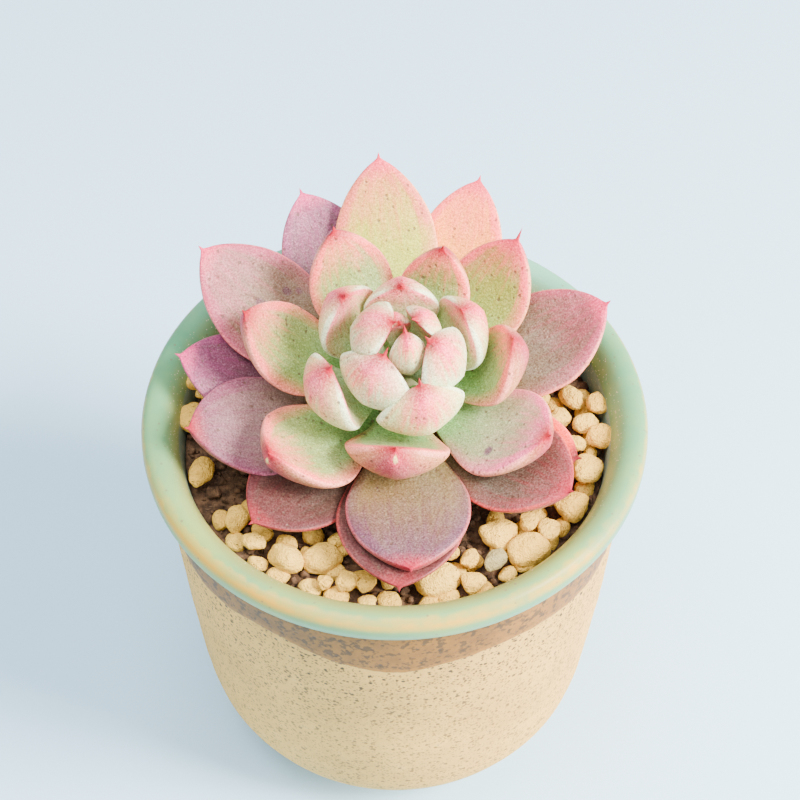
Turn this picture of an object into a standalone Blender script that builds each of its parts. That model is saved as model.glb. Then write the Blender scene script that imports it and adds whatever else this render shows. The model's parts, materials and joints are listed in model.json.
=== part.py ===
"""Potted echeveria: a fleshy rosette on its stem, in soil topped with pale grit, in a glazed pot.

Units are metres, +Z is up and the origin is the middle of the pot's foot. The plant has a frame
of its own, which leans towards the viewer: a leaf's sizes are given in millimetres in that frame.
"""
import math
import random
from collections import namedtuple

import bmesh
import bpy
from mathutils import Matrix, Vector

MM = 0.001
GAP = 0.3 * MM

# Pot
POT_STEPS = 40
RIM_HEIGHT = 84.6 * MM
NECK_RADIUS = 41.9 * MM
NECK_DROP = 5.2 * MM
BODY_TAPER = 2.7 * MM
BODY_TAPER_POWER = 1.7
BODY_STEPS = 5
BASE_ROUNDING = 20.7 * MM
LOWER_BODY_RADIUS = 39.2 * MM
SHOULDER_HEIGHT = BASE_ROUNDING - 1.4 * MM
FOOT_RECESS = 1.4 * MM
FOOT_RING_WIDTH = 5.0 * MM
FOOT_RING_SLOPE = 0.8 * MM
FLOOR_THICKNESS = 5.0 * MM
DRAIN_RADIUS = 4.5 * MM
MOUTH_RADIUS = 38.3 * MM
WALL = 4.4 * MM

# Outlines of the rim's outer side, downwards, and of the mouth's, upwards: radius and height
# above the rim in millimetres.
RIM_OUTLINE = ((43.2, 1.5), (44.5, 0.9), (45.0, 0.0), (44.9, -1.85), (44.4, -3.7), (43.6, -4.3))
MOUTH_OUTLINE = ((37.5, -16.0), (38.1, -7.0), (38.3, -0.4), (38.8, 0.4), (40.1, 0.9))

# Soil
SOIL_LEVEL = RIM_HEIGHT - 8.3 * MM
SOIL_STEPS = 28
SOIL_RADII = (29.0 * MM, 22.0 * MM, 17.0 * MM, 12.0 * MM, 7.0 * MM)
SOIL_FILLET_HEIGHT = 4.0 * MM
SOIL_EDGE_INSET = 0.5 * MM
SOIL_SWELL = 0.5 * MM
SOIL_FLAT_FROM = 19.5 * MM
SOIL_FADE = 8.0 * MM
# Waves of the soil's surface: radians per metre along X and along Y, phase and share.
SOIL_WAVES = ((310, 260, 0.9, 0.5), (310, -260, 1.7, 0.5), (520, -470, 0.0, 0.6))
CRUMB_SEED = 3
CRUMB_STRETCH = (1.2, 2.2)
CRUMB_RISE = (0.0, 0.8)

# Grit
GRIT_TOP = RIM_HEIGHT - 3.4 * MM
GRIT_REACH = MOUTH_RADIUS - 0.8 * MM
GRIT_INNER_REACH = 20.0 * MM
GRIT_HEADROOM = 9.0 * MM
GRIT_FLOOR = SOIL_LEVEL + GAP + 0.1 * MM
STONE_TILT = 14.0
STONE_BREADTH = (0.74, 0.9)
STONE_HEIGHT = (0.6, 0.76)
STONE_UNEVEN = (0.88, 1.08)
STONE_SEAT = 0.8
STONE_REACH = 0.42
BED_ROWS = (35.2 * MM, 30.2 * MM, 25.2 * MM)
BED_SPACING = 5.0 * MM
BED_SEED = 7
BED_LENGTHS = (6.8, 8.2)
BED_DROPS = (-2.0, -1.2)
BED_TURN = 2.0
BED_SHIFT = 0.5 * MM
BED_YAW = 35.0
GRIT_GRAIN = 0.5 * MM
GRIT_TRIANGLES = 4360
STONE_TRIANGLES = 90
GRIT_CLEARANCE = 0.35 * MM

# Stem and the plant's own frame
PLANT_FOOT = Vector((1.5 * MM, 3.6 * MM, RIM_HEIGHT - 3.0 * MM))
PLANT_LEAN = math.radians(12.0)
STEM_RADIUS = 4.6 * MM
STEM_TIP_RADIUS = 1.3 * MM
STEM_TAPER_FROM = 5.0 * MM
STEM_TOP = 19.0 * MM
STEM_DEPTH = 15.0 * MM
STEM_CHAMFER = 1.0 * MM
STEM_STEPS = 16

# Leaves
LEAF_RINGS = 10
LEAF_SIDES = 10
WIDEST_AT = 0.60
LEAF_BACK = 0.72
LEAF_KEEL = 0.30
LEAF_CUP = 0.10
LEAF_ROOT_DEPTH = 0.5 * MM
LEAF_GROWTH_POWER = 0.8
LEAF_WIDTH_POWERS = (2.2, 0.72)
LEAF_THICKNESS_POWERS = (2.6, 0.75)
LEAST_HALF_WIDTH = 0.25
LEAST_THICKNESS = 0.5

Whorl = namedtuple("Whorl", "name neck neck_thick thick colour leaves")
Leaf = namedtuple("Leaf", "turn reach lift foot width bow")

# A leaf's turn about the stem is in degrees. Reach and lift place its tip out from the stem's
# line and up along it, foot is where it leaves the stem, and bow is its sag over its length.
WHORLS = (
    Whorl("bud_leaf", 2.0, 1.2, 3.4, (0.74, 0.66, 0.62), (
        Leaf(285, 1.0, 30.6, 18.5, 6.5, 0.20),
        Leaf(110, 1.6, 28.6, 18.5, 5.0, 0.20),
        Leaf(40, 2.4, 30.2, 18.0, 9.0, 0.26))),
    Whorl("inner_leaf", 2.6, 1.6, 5.4, (0.72, 0.62, 0.56), (
        Leaf(233, 5.2, 28.2, 15.0, 15.5, 0.32),
        Leaf(335, 4.6, 29.4, 15.5, 13.5, 0.30),
        Leaf(165, 1.8, 31.0, 16.0, 12.5, 0.26),
        Leaf(92, 9.4, 27.2, 15.5, 13.0, 0.27))),
    Whorl("upper_leaf", 3.2, 2.0, 5.8, (0.70, 0.66, 0.56), (
        Leaf(288, 9.0, 26.2, 12.5, 15.5, 0.30),
        Leaf(28, 11.2, 26.5, 13.0, 14.0, 0.29),
        Leaf(142, 12.5, 27.0, 13.5, 14.0, 0.29),
        Leaf(206, 13.4, 26.8, 12.0, 15.5, 0.32))),
    Whorl("middle_leaf", 4.0, 2.2, 5.8, (0.62, 0.62, 0.46), (
        Leaf(266, 18.0, 21.5, 9.5, 18.0, 0.26),
        Leaf(3, 18.5, 24.0, 10.0, 14.5, 0.27),
        Leaf(70, 20.0, 24.0, 10.5, 13.0, 0.23),
        Leaf(118, 25.5, 24.0, 10.0, 15.5, 0.23),
        Leaf(165, 28.0, 22.0, 9.0, 16.0, 0.20),
        Leaf(219, 28.5, 19.5, 8.0, 18.5, 0.19),
        Leaf(330, 28.0, 18.0, 8.0, 18.5, 0.18))),
    Whorl("outer_leaf", 4.6, 2.2, 5.6, (0.56, 0.44, 0.36), (
        Leaf(272, 36.0, 13.5, 5.0, 21.5, 0.07),
        Leaf(322, 35.5, 13.0, 5.0, 19.5, 0.10),
        Leaf(20, 38.0, 15.0, 5.0, 19.5, 0.12),
        Leaf(49, 30.5, 20.0, 6.5, 16.5, 0.20),
        Leaf(96, 42.5, 17.0, 5.5, 19.0, 0.15),
        Leaf(147, 42.5, 16.5, 5.0, 20.5, 0.12),
        Leaf(196, 38.0, 13.5, 5.0, 20.0, 0.12))),
    Whorl("lowest_leaf", 4.6, 2.2, 4.4, (0.36, 0.16, 0.16), (
        Leaf(269, 38.5, 11.5, 2.2, 22.0, 0.03),
        Leaf(335, 33.0, 9.0, 2.2, 15.0, 0.08),
        Leaf(71, 43.0, 12.0, 2.0, 17.0, 0.10),
        Leaf(116, 42.5, 11.5, 2.0, 18.5, 0.10),
        Leaf(173, 39.5, 11.0, 2.0, 17.5, 0.10),
        Leaf(226, 36.5, 10.0, 2.2, 18.5, 0.05))),
)

# Stones that show round the rosette, in degrees about the pot's axis and millimetres. Yaw is the
# way the long side points, and rise lifts a stone above the general top of the grit.
Stone = namedtuple("Stone", "turn out length yaw rise")
STONES = (
    Stone(214, 33.0, 6.4, 80, 0.0), Stone(224, 33.8, 4.8, 0, -0.6), Stone(236, 32.6, 8.0, -20, 0.2),
    Stone(245, 29.3, 7.6, 30, -0.4), Stone(256, 32.9, 4.8, 40, 0.0), Stone(262, 32.6, 4.4, 60, 0.0),
    Stone(250, 34.0, 3.6, 0, -0.8), Stone(284, 32.0, 8.4, 20, 0.4), Stone(295, 30.2, 4.8, 70, 0.0),
    Stone(293, 34.6, 5.6, 5, -0.6), Stone(310, 28.6, 8.4, 25, 0.2), Stone(313, 34.2, 8.4, 20, 0.2),
    Stone(319, 30.7, 4.4, 80, 0.2), Stone(321, 34.2, 5.2, 100, 0.0), Stone(332, 34.2, 7.6, 30, 0.5),
    Stone(347, 34.6, 6.6, 80, 0.2), Stone(358, 35.2, 5.4, 20, 0.2), Stone(356, 31.4, 3.8, 0, 0.0),
    Stone(3, 32.4, 4.2, 10, 0.0), Stone(9, 35.6, 4.8, 90, 0.4), Stone(13, 32.0, 6.0, -40, 0.4),
    Stone(5, 28.8, 4.8, 60, 0.0), Stone(15, 27.2, 4.6, 10, 0.0), Stone(29, 35.6, 4.4, 60, 1.0),
    Stone(50, 35.2, 5.0, 20, 1.6), Stone(62, 35.0, 5.2, 50, 1.2), Stone(154, 34.8, 5.8, 60, 1.6),
    Stone(163, 35.4, 4.8, 20, 1.0), Stone(170, 35.4, 4.8, 80, 0.6), Stone(177, 34.4, 6.4, 90, 0.2),
    Stone(290, 27.6, 3.8, 0, -0.8), Stone(247, 24.8, 3.8, 30, -1.4),
)
LOOSE_STONE = Stone(194, 34.0, 6.2, 75, -0.6)
GREY_STONE = Stone(302, 32.6, 5.0, 60, 0.2)

# Where soil shows through the grit: the two ends of a sector in degrees and its reach out.
Patch = namedtuple("Patch", "start end near far")
BARE_PATCHES = (
    Patch(181, 207, 0.0, 40.0),
    Patch(17, 26, 30.0, 40.0),
    Patch(292, 308, 0.0, 28.0),
)
# Crumbs of soil, as a patch of their own, their number and their usual size in millimetres.
CRUMBS = (
    (Patch(183, 201, 27.0, 35.0), 13, 1.6),
    (Patch(18, 25, 32.0, 35.5), 6, 2.5),
    (Patch(294, 307, 22.0, 27.0), 5, 1.4),
)

CLAY = (0.62, 0.50, 0.36)
SOIL = (0.07, 0.04, 0.025)
GRIT = (0.80, 0.66, 0.42)
GREY_GRIT = (0.42, 0.40, 0.37)
STEM = (0.30, 0.26, 0.16)


def clear_scene():
    for item in list(bpy.data.objects):
        bpy.data.objects.remove(item, do_unlink=True)


def new_collection(name):
    group = bpy.data.collections.new(name)
    bpy.context.scene.collection.children.link(group)
    return group


def material(name, colour, roughness):
    """A plain surface of one colour."""
    finish = bpy.data.materials.new(name)
    finish.use_nodes = True
    shader = finish.node_tree.nodes["Principled BSDF"]
    shader.inputs["Base Color"].default_value = (*colour, 1.0)
    shader.inputs["Roughness"].default_value = roughness
    shader.inputs["Metallic"].default_value = 0.0
    return finish


def add_object(name, mesh, group, finish=None):
    item = bpy.data.objects.new(name, mesh)
    group.objects.link(item)
    if finish:
        mesh.materials.clear()
        mesh.materials.append(finish)
    return item


def guide(item):
    """Mark a cutter or another shape that isn't part of the object."""
    item.hide_render = True
    item.display_type = 'WIRE'
    return item


def shade_round(mesh, sharp_angle=math.radians(40)):
    mesh.shade_smooth()
    mesh.set_sharp_from_angle(angle=sharp_angle)


def arc(centre, radius, start, end, count):
    """Points in the XZ plane along an arc, with its angles in degrees."""
    points = []
    for step in range(count + 1):
        angle = math.radians(start + (end - start) * step / count)
        points.append((centre[0] + radius * math.cos(angle), centre[1] + radius * math.sin(angle)))
    return points


def turned(name, profile, group, steps, finish=None):
    """Turn an outline of (radius, height) points about the Z axis into a solid."""
    mesh = bpy.data.meshes.new(name)
    closed = profile[0][0] > 0 or profile[-1][0] > 0
    edges = [(i, i + 1) for i in range(len(profile) - 1)]
    if closed:
        edges.append((len(profile) - 1, 0))
    mesh.from_pydata([(radius, 0.0, height) for radius, height in profile], edges, [])
    item = add_object(name, mesh, group, finish)
    screw = item.modifiers.new("Turn", 'SCREW')
    screw.axis = 'Z'
    screw.steps = steps
    screw.render_steps = steps
    screw.use_merge_vertices = True
    screw.merge_threshold = 0.00001
    screw.use_smooth_shade = True
    return item


def made_solid(item):
    """Replace an object's modifiers by the mesh that they make."""
    graph = bpy.context.evaluated_depsgraph_get()
    mesh = bpy.data.meshes.new_from_object(item.evaluated_get(graph))
    item.modifiers.clear()
    item.data = mesh
    return item


def join_or_cut(item, group, operation, solver='EXACT'):
    """Apply a Boolean with all the objects of a collection."""
    boolean = item.modifiers.new("Boolean", 'BOOLEAN')
    boolean.operation = operation
    boolean.operand_type = 'COLLECTION'
    boolean.collection = group
    boolean.solver = solver
    return made_solid(item)


def weathered(item, grain, triangles):
    """Round a heap of joined stones to a grain, so that no sliver stays, and thin its faces."""
    remesh = item.modifiers.new("Weather", 'REMESH')
    remesh.mode = 'VOXEL'
    remesh.voxel_size = grain
    soften = item.modifiers.new("Soften", 'SMOOTH')
    soften.factor = 0.5
    soften.iterations = 2
    made_solid(item)
    item.data.calc_loop_triangles()
    decimate = item.modifiers.new("Thin", 'DECIMATE')
    decimate.ratio = triangles / len(item.data.loop_triangles)
    return made_solid(item)


def remove_group(group):
    for item in list(group.objects):
        bpy.data.objects.remove(item, do_unlink=True)
    bpy.data.collections.remove(group)


def keep_largest(item, tiny=0.02 * MM):
    """Merge points closer than a tiny distance and drop all but the largest body."""
    shape = bmesh.new()
    shape.from_mesh(item.data)
    if tiny:
        bmesh.ops.remove_doubles(shape, verts=shape.verts, dist=tiny)
        bmesh.ops.dissolve_degenerate(shape, edges=shape.edges, dist=tiny)
    left = set(shape.verts)
    bodies = []
    while left:
        body, edge = set(), [left.pop()]
        while edge:
            vert = edge.pop()
            body.add(vert)
            near = {other.other_vert(vert) for other in vert.link_edges} & left
            left -= near
            edge.extend(near)
        bodies.append(body)
    bodies.sort(key=len)
    for body in bodies[:-1]:
        bmesh.ops.delete(shape, geom=list(body), context='VERTS')
    bmesh.ops.triangulate(shape, faces=shape.faces)
    shape.to_mesh(item.data)
    shape.free()
    return item


def pot_outline():
    """Outline of the pot, down its outer side, across the foot and up its inner side."""
    foot_radius = LOWER_BODY_RADIUS - BASE_ROUNDING
    inner_rounding = BASE_ROUNDING - WALL
    floor = FLOOR_THICKNESS
    outer = [(radius * MM, RIM_HEIGHT + height * MM) for radius, height in RIM_OUTLINE]
    neck_height = RIM_HEIGHT - NECK_DROP
    for step in range(BODY_STEPS):
        share = step / BODY_STEPS
        height = neck_height + (SHOULDER_HEIGHT - neck_height) * share
        outer.append((NECK_RADIUS - BODY_TAPER * share ** BODY_TAPER_POWER, height))
    outer += arc((foot_radius, BASE_ROUNDING), BASE_ROUNDING, -4, -86, 7)
    foot = [
        (foot_radius, 0.0),
        (foot_radius - FOOT_RING_WIDTH, 0.0),
        (foot_radius - FOOT_RING_WIDTH - FOOT_RING_SLOPE, FOOT_RECESS),
        (DRAIN_RADIUS, FOOT_RECESS),
        (DRAIN_RADIUS, floor),
    ]
    inner = [(foot_radius, floor)]
    inner += arc((foot_radius, floor + inner_rounding), inner_rounding, -70, 0, 5)
    inner += [(radius * MM, RIM_HEIGHT + height * MM) for radius, height in MOUTH_OUTLINE]
    return outer, foot, inner


def build_pot(group):
    outer, foot, inner = pot_outline()
    turned("pot", outer + foot + inner, group, POT_STEPS, material("clay", CLAY, 0.45))


def swell(x, y):
    """Rise and fall of the soil's surface about its level, fading out under the grit."""
    fade = smooth((SOIL_FLAT_FROM - math.hypot(x, y)) / SOIL_FADE)
    waves = sum(share * math.sin(x * along_x + y * along_y + phase)
                for along_x, along_y, phase, share in SOIL_WAVES)
    return SOIL_SWELL * fade * waves


def plant_frame():
    return Matrix.Translation(PLANT_FOOT) @ Matrix.Rotation(PLANT_LEAN, 4, 'X')


def build_stem(group):
    profile = [
        (0.0, STEM_TOP),
        (STEM_TIP_RADIUS, STEM_TOP),
        (STEM_RADIUS, STEM_TAPER_FROM),
        (STEM_RADIUS, -STEM_DEPTH + STEM_CHAMFER),
        (STEM_RADIUS - STEM_CHAMFER, -STEM_DEPTH),
        (0.0, -STEM_DEPTH),
    ]
    stem = turned("stem", profile, group, STEM_STEPS, material("stem skin", STEM, 0.8))
    made_solid(stem)
    stem.data.transform(plant_frame())
    return keep_largest(stem)


def stem_radius(height):
    """The stem's radius at a height along it."""
    share = (height - STEM_TAPER_FROM) / (STEM_TOP - STEM_TAPER_FROM)
    share = min(max(share, 0.0), 1.0)
    return STEM_RADIUS + (STEM_TIP_RADIUS - STEM_RADIUS) * share


def smooth(share):
    share = min(max(share, 0.0), 1.0)
    return share * share * (3 - 2 * share)


def leaf_spine(leaf):
    """Start, control point and tip of a leaf's spine, as (out, up) in the leaf's plane."""
    start = Vector((stem_radius(leaf.foot * MM) - LEAF_ROOT_DEPTH, leaf.foot * MM))
    tip = Vector((leaf.reach * MM, leaf.lift * MM))
    chord = tip - start
    inward = Vector((-chord.y, chord.x))
    return start, (start + tip) / 2 - inward * 2 * leaf.bow, tip


def leaf_girth(leaf, whorl, share):
    """Half the width and the thickness of a leaf at a share of its length."""
    if share < WIDEST_AT:
        grown = smooth(share / WIDEST_AT)
        half = (whorl.neck + (leaf.width - whorl.neck) * grown ** LEAF_GROWTH_POWER) / 2
        thick = whorl.neck_thick + (whorl.thick - whorl.neck_thick) * grown
    else:
        past = min((share - WIDEST_AT) / (1 - WIDEST_AT), 1.0)
        first, second = LEAF_WIDTH_POWERS
        half = leaf.width / 2 * (1 - past ** first) ** second
        first, second = LEAF_THICKNESS_POWERS
        thick = whorl.thick * (1 - past ** first) ** second
    return max(half, LEAST_HALF_WIDTH) * MM, max(thick, LEAST_THICKNESS) * MM


def leaf_section(half, thick, sides):
    """Points of a leaf's cross-section, as (across, up): flat above and keeled below."""
    points = []
    for side in range(sides):
        angle = 2 * math.pi * side / sides
        across, round_part = math.cos(angle), abs(math.sin(angle))
        if math.sin(angle) >= 0:
            rise = (1 - LEAF_BACK) * round_part
        else:
            rise = -LEAF_BACK * ((1 - LEAF_KEEL) * round_part + LEAF_KEEL * (1 - abs(across)))
        points.append((half * across, thick * rise + LEAF_CUP * half * across * across))
    return points


def leaf_mesh(leaf, whorl, rings, sides):
    """Loft a fleshy leaf along its spine, widest past its middle and pointed at its tip."""
    start, control, tip = leaf_spine(leaf)
    to_world = plant_frame() @ Matrix.Rotation(math.radians(leaf.turn), 4, 'Z')
    points = []
    for ring in range(rings):
        even = ring / (rings - 1)
        s = 0.5 * even + 0.25 * (1 - math.cos(math.pi * even))
        centre = (1 - s) ** 2 * start + 2 * s * (1 - s) * control + s * s * tip
        along = ((1 - s) * (control - start) + s * (tip - control)).normalized()
        up = Vector((-along.y, along.x))
        half, thick = leaf_girth(leaf, whorl, s)
        for across, rise in leaf_section(half, thick, sides):
            place = centre + up * rise
            points.append(to_world @ Vector((place.x, across, place.y)))
    faces = []
    for ring in range(rings - 1):
        for side in range(sides):
            a, b = ring * sides + side, ring * sides + (side + 1) % sides
            faces += [(a, b + sides, b), (a, a + sides, b + sides)]
    faces.append(tuple(range(sides)))
    faces.append(tuple(reversed(range((rings - 1) * sides, rings * sides))))
    mesh = bpy.data.meshes.new("leaf")
    mesh.from_pydata(points, [], faces)
    shape = bmesh.new()
    shape.from_mesh(mesh)
    bmesh.ops.recalc_face_normals(shape, faces=shape.faces)
    bmesh.ops.triangulate(shape, faces=shape.faces)
    shape.to_mesh(mesh)
    shape.free()
    return mesh


def grown_copy(item, amount, group):
    """A copy of a solid, larger by an amount all round."""
    shape = bmesh.new()
    shape.from_mesh(item.data)
    shape.normal_update()
    shifts = [vert.normal * vert.calc_shell_factor() * amount for vert in shape.verts]
    for vert, shift in zip(shape.verts, shifts):
        vert.co += shift
    mesh = bpy.data.meshes.new(item.name + "_room")
    shape.to_mesh(mesh)
    shape.free()
    return guide(add_object(item.name + "_room", mesh, group))


def build_leaves(group, stem):
    """Make the leaves from the bud outwards; each gives way to those already there."""
    room = new_collection("room of the inner leaves")
    grown_copy(stem, GAP, room)
    leaves = []
    for whorl in WHORLS:
        for number, leaf in enumerate(whorl.leaves, 1):
            name = f"{whorl.name}_{number}"
            mesh = leaf_mesh(leaf, whorl, LEAF_RINGS, LEAF_SIDES)
            item = add_object(name, mesh, group)
            grown = grown_copy(item, GAP, room)
            room.objects.unlink(grown)
            join_or_cut(item, room, 'DIFFERENCE')
            keep_largest(item)
            item.data.materials.clear()
            item.data.materials.append(material(name + " skin", whorl.colour, 0.5))
            shade_round(item.data)
            room.objects.link(grown)
            leaves.append(item)
    remove_group(room)
    return leaves


def pebble(name, length, group, draw, fine=False):
    """An uneven rounded stone about the origin, longest along X."""
    shape = bmesh.new()
    if fine:
        bmesh.ops.create_uvsphere(shape, u_segments=7, v_segments=5, radius=0.5)
        bmesh.ops.rotate(shape, matrix=Matrix.Rotation(math.pi / 2, 3, 'Y'), verts=shape.verts)
    else:
        bmesh.ops.create_icosphere(shape, subdivisions=1, radius=0.5)
    breadth, height = draw.uniform(*STONE_BREADTH), draw.uniform(*STONE_HEIGHT)
    size = Vector((length, length * breadth, length * height))
    for vert in shape.verts:
        uneven = draw.uniform(*STONE_UNEVEN)
        vert.co = Vector([part * reach * uneven for part, reach in zip(vert.co, size)])
    mesh = bpy.data.meshes.new(name)
    shape.to_mesh(mesh)
    shape.free()
    return add_object(name, mesh, group), size.z / 2


def put_stone(name, stone, group, draw, fine=True):
    """Lay a stone in the grit with its top near the grit's own top."""
    item, half_height = pebble(name, stone.length * MM, group, draw, fine)
    turn = math.radians(stone.turn)
    seat = SOIL_LEVEL + STONE_SEAT * half_height
    height = max(GRIT_TOP + stone.rise * MM - half_height, seat)
    out = min(stone.out * MM, GRIT_REACH - STONE_REACH * stone.length * MM)
    place = Vector((out * math.cos(turn), out * math.sin(turn), height))
    tilt = Matrix.Rotation(math.radians(draw.uniform(-STONE_TILT, STONE_TILT)), 4, 'X')
    yaw = Matrix.Rotation(math.radians(stone.yaw), 4, 'Z')
    item.data.transform(Matrix.Translation(place) @ yaw @ tilt)
    return item


def in_patch(patch, turn, out):
    return patch.start <= turn % 360 <= patch.end and patch.near * MM <= out <= patch.far * MM


def lay_bed(group, draw):
    """Rows of smaller stones on the soil, under and between those that show."""
    for row, radius in enumerate(BED_ROWS):
        count = round(2 * math.pi * radius / BED_SPACING)
        for number in range(count):
            turn = 360 * (number + 0.5 * (row % 2)) / count + draw.uniform(-BED_TURN, BED_TURN)
            out = radius + draw.uniform(-BED_SHIFT, BED_SHIFT)
            length = draw.uniform(*BED_LENGTHS)
            yaw = turn + 90 + draw.uniform(-BED_YAW, BED_YAW)
            drop = draw.uniform(*BED_DROPS)
            if not any(in_patch(patch, turn, out) for patch in BARE_PATCHES):
                stone = Stone(turn, out / MM, length, yaw, drop)
                put_stone("bed stone", stone, group, draw, fine=False)


def ring_room(name, inner, outer, low, high, group):
    """A plain ring that holds the grit between the soil, the pot's wall and the stem."""
    outline = [(inner, high), (outer, high), (outer, low), (inner, low)]
    return guide(made_solid(turned(name, outline, group, SOIL_STEPS)))


def build_grit(group, room):
    """The pale grit as one body, the grey stone and the loose stone, all clear of the leaves."""
    draw = random.Random(BED_SEED)
    pale = material("pale grit", GRIT, 0.9)
    grey = put_stone("grey_stone", GREY_STONE, group, draw)
    loose = put_stone("loose_stone", LOOSE_STONE, group, draw)
    stones = new_collection("grit stones")
    for stone in STONES:
        put_stone("stone", stone, stones, draw)
    lay_bed(stones, draw)
    grit = stones.objects[0]
    grit.name = "grit"
    stones.objects.unlink(grit)
    group.objects.link(grit)
    join_or_cut(grit, stones, 'UNION', 'MANIFOLD')
    remove_group(stones)
    ring = new_collection("ring of grit")
    ring_room("ring", GRIT_INNER_REACH, GRIT_REACH, GRIT_FLOOR, RIM_HEIGHT + GRIT_HEADROOM, ring)
    for item in (grey, loose, grit):
        join_or_cut(item, ring, 'INTERSECT', 'MANIFOLD')
        join_or_cut(item, room, 'DIFFERENCE', 'MANIFOLD')
        weathered(item, GRIT_GRAIN, GRIT_TRIANGLES if item is grit else STONE_TRIANGLES)
        keep_largest(item, tiny=0.0)
        grown_copy(item, GAP + GRIT_CLEARANCE, room)
        item.data.materials.clear()
        shade_round(item.data)
    remove_group(ring)
    grey.data.materials.append(material("grey stone", GREY_GRIT, 0.9))
    loose.data.materials.append(pale)
    grit.data.materials.append(pale)


def build_soil(group, stem, room):
    """Soil that fills the pot, with a plain hole for the stem and crumbs where it shows."""
    inner = [point for point in pot_outline()[2] if point[1] < SOIL_LEVEL - SOIL_FILLET_HEIGHT]
    wall = [(radius - GAP, height + GAP) for radius, height in inner]
    top = [(radius, SOIL_LEVEL) for radius in (MOUTH_RADIUS - SOIL_EDGE_INSET, *SOIL_RADII)]
    outline = [(0.0, SOIL_LEVEL)] + top[::-1] + wall[::-1] + [(0.0, FLOOR_THICKNESS + GAP)]
    soil = made_solid(turned("soil", outline, group, SOIL_STEPS, material("soil", SOIL, 1.0)))
    for vert in soil.data.vertices:
        if vert.co.z > SOIL_LEVEL - 0.1 * MM:
            vert.co.z += swell(vert.co.x, vert.co.y)
    draw = random.Random(CRUMB_SEED)
    crumbs = new_collection("crumbs")
    for patch, count, size in CRUMBS:
        for _ in range(count):
            turn = math.radians(draw.uniform(patch.start, patch.end))
            out = draw.uniform(patch.near, patch.far) * MM
            length = size * draw.uniform(*CRUMB_STRETCH) * MM
            crumb, half = pebble("crumb", length, crumbs, draw)
            rise = draw.uniform(*CRUMB_RISE) * half
            place = Vector((out * math.cos(turn), out * math.sin(turn), SOIL_LEVEL + rise))
            yaw = Matrix.Rotation(draw.uniform(0, math.pi), 4, 'Z')
            crumb.data.transform(Matrix.Translation(place) @ yaw)
    for crumb in crumbs.objects:
        grown_copy(crumb, GAP + 2 * GRIT_CLEARANCE, room)
    join_or_cut(soil, crumbs, 'UNION', 'MANIFOLD')
    remove_group(crumbs)
    hole = new_collection("stem hole")
    grown_copy(stem, GAP, hole)
    join_or_cut(soil, hole, 'DIFFERENCE', 'MANIFOLD')
    remove_group(hole)
    return keep_largest(soil, tiny=0.0)


def main():
    clear_scene()
    plant = new_collection("potted echeveria")
    build_pot(plant)
    stem = build_stem(plant)
    room = new_collection("room round the leaves and crumbs")
    build_soil(plant, stem, room)
    for item in build_leaves(plant, stem):
        grown_copy(item, GAP + GRIT_CLEARANCE, room)
    build_grit(plant, room)
    remove_group(room)


main()
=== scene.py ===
"""Potted echeveria: fleshy leaves, a glazed stoneware pot, dark soil and pale grit.

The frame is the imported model's: metres, +Z up, the origin in the middle of the pot's foot, and -Y
towards the viewer. The plant has a frame of its own, which leans towards the viewer.
"""
import json
import logging
import math
import random
from dataclasses import dataclass, field, replace
from enum import Enum
from typing import Any, Callable, Dict, List, Optional, Sequence, Tuple, Union

import bmesh
import bpy
from bpy.types import Material, Mesh, NodeSocket, Object
from mathutils import Euler, Matrix, Vector, noise
from mathutils.bvhtree import BVHTree

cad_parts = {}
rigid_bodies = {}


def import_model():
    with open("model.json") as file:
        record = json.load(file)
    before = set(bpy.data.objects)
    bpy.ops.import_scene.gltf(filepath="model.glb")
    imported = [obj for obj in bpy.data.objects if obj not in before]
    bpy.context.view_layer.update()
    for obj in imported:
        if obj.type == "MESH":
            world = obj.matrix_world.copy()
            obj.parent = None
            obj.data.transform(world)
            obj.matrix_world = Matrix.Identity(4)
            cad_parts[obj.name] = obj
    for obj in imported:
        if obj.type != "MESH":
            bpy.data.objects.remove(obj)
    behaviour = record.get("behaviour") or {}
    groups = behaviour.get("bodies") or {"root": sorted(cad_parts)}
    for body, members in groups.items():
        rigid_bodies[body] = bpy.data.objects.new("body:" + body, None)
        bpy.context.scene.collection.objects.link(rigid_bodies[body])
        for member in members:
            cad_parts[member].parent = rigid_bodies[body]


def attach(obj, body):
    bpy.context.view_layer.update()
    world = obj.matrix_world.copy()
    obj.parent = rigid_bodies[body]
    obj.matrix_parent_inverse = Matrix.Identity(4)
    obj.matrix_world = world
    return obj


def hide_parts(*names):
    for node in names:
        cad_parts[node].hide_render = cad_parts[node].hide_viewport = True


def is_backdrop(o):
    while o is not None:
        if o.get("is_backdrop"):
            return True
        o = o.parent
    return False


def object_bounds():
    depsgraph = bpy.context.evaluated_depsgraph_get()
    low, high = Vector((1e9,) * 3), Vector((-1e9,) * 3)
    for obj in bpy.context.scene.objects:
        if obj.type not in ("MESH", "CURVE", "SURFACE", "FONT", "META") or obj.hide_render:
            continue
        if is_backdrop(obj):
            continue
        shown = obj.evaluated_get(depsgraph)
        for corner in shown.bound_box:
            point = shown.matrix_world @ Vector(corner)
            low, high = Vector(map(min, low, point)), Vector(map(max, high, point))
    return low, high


for leftover in list(bpy.data.objects):
    bpy.data.objects.remove(leftover, do_unlink=True)
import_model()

LOG = logging.getLogger("potted echeveria")
MM = 0.001
RIM_HEIGHT = 84.6 * MM
MOUTH_RADIUS = 38.3 * MM
SOIL_LEVEL = RIM_HEIGHT - 8.3 * MM

Colour = Tuple[float, float, float]
Number = Union["Field", float]


# Node trees

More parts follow.
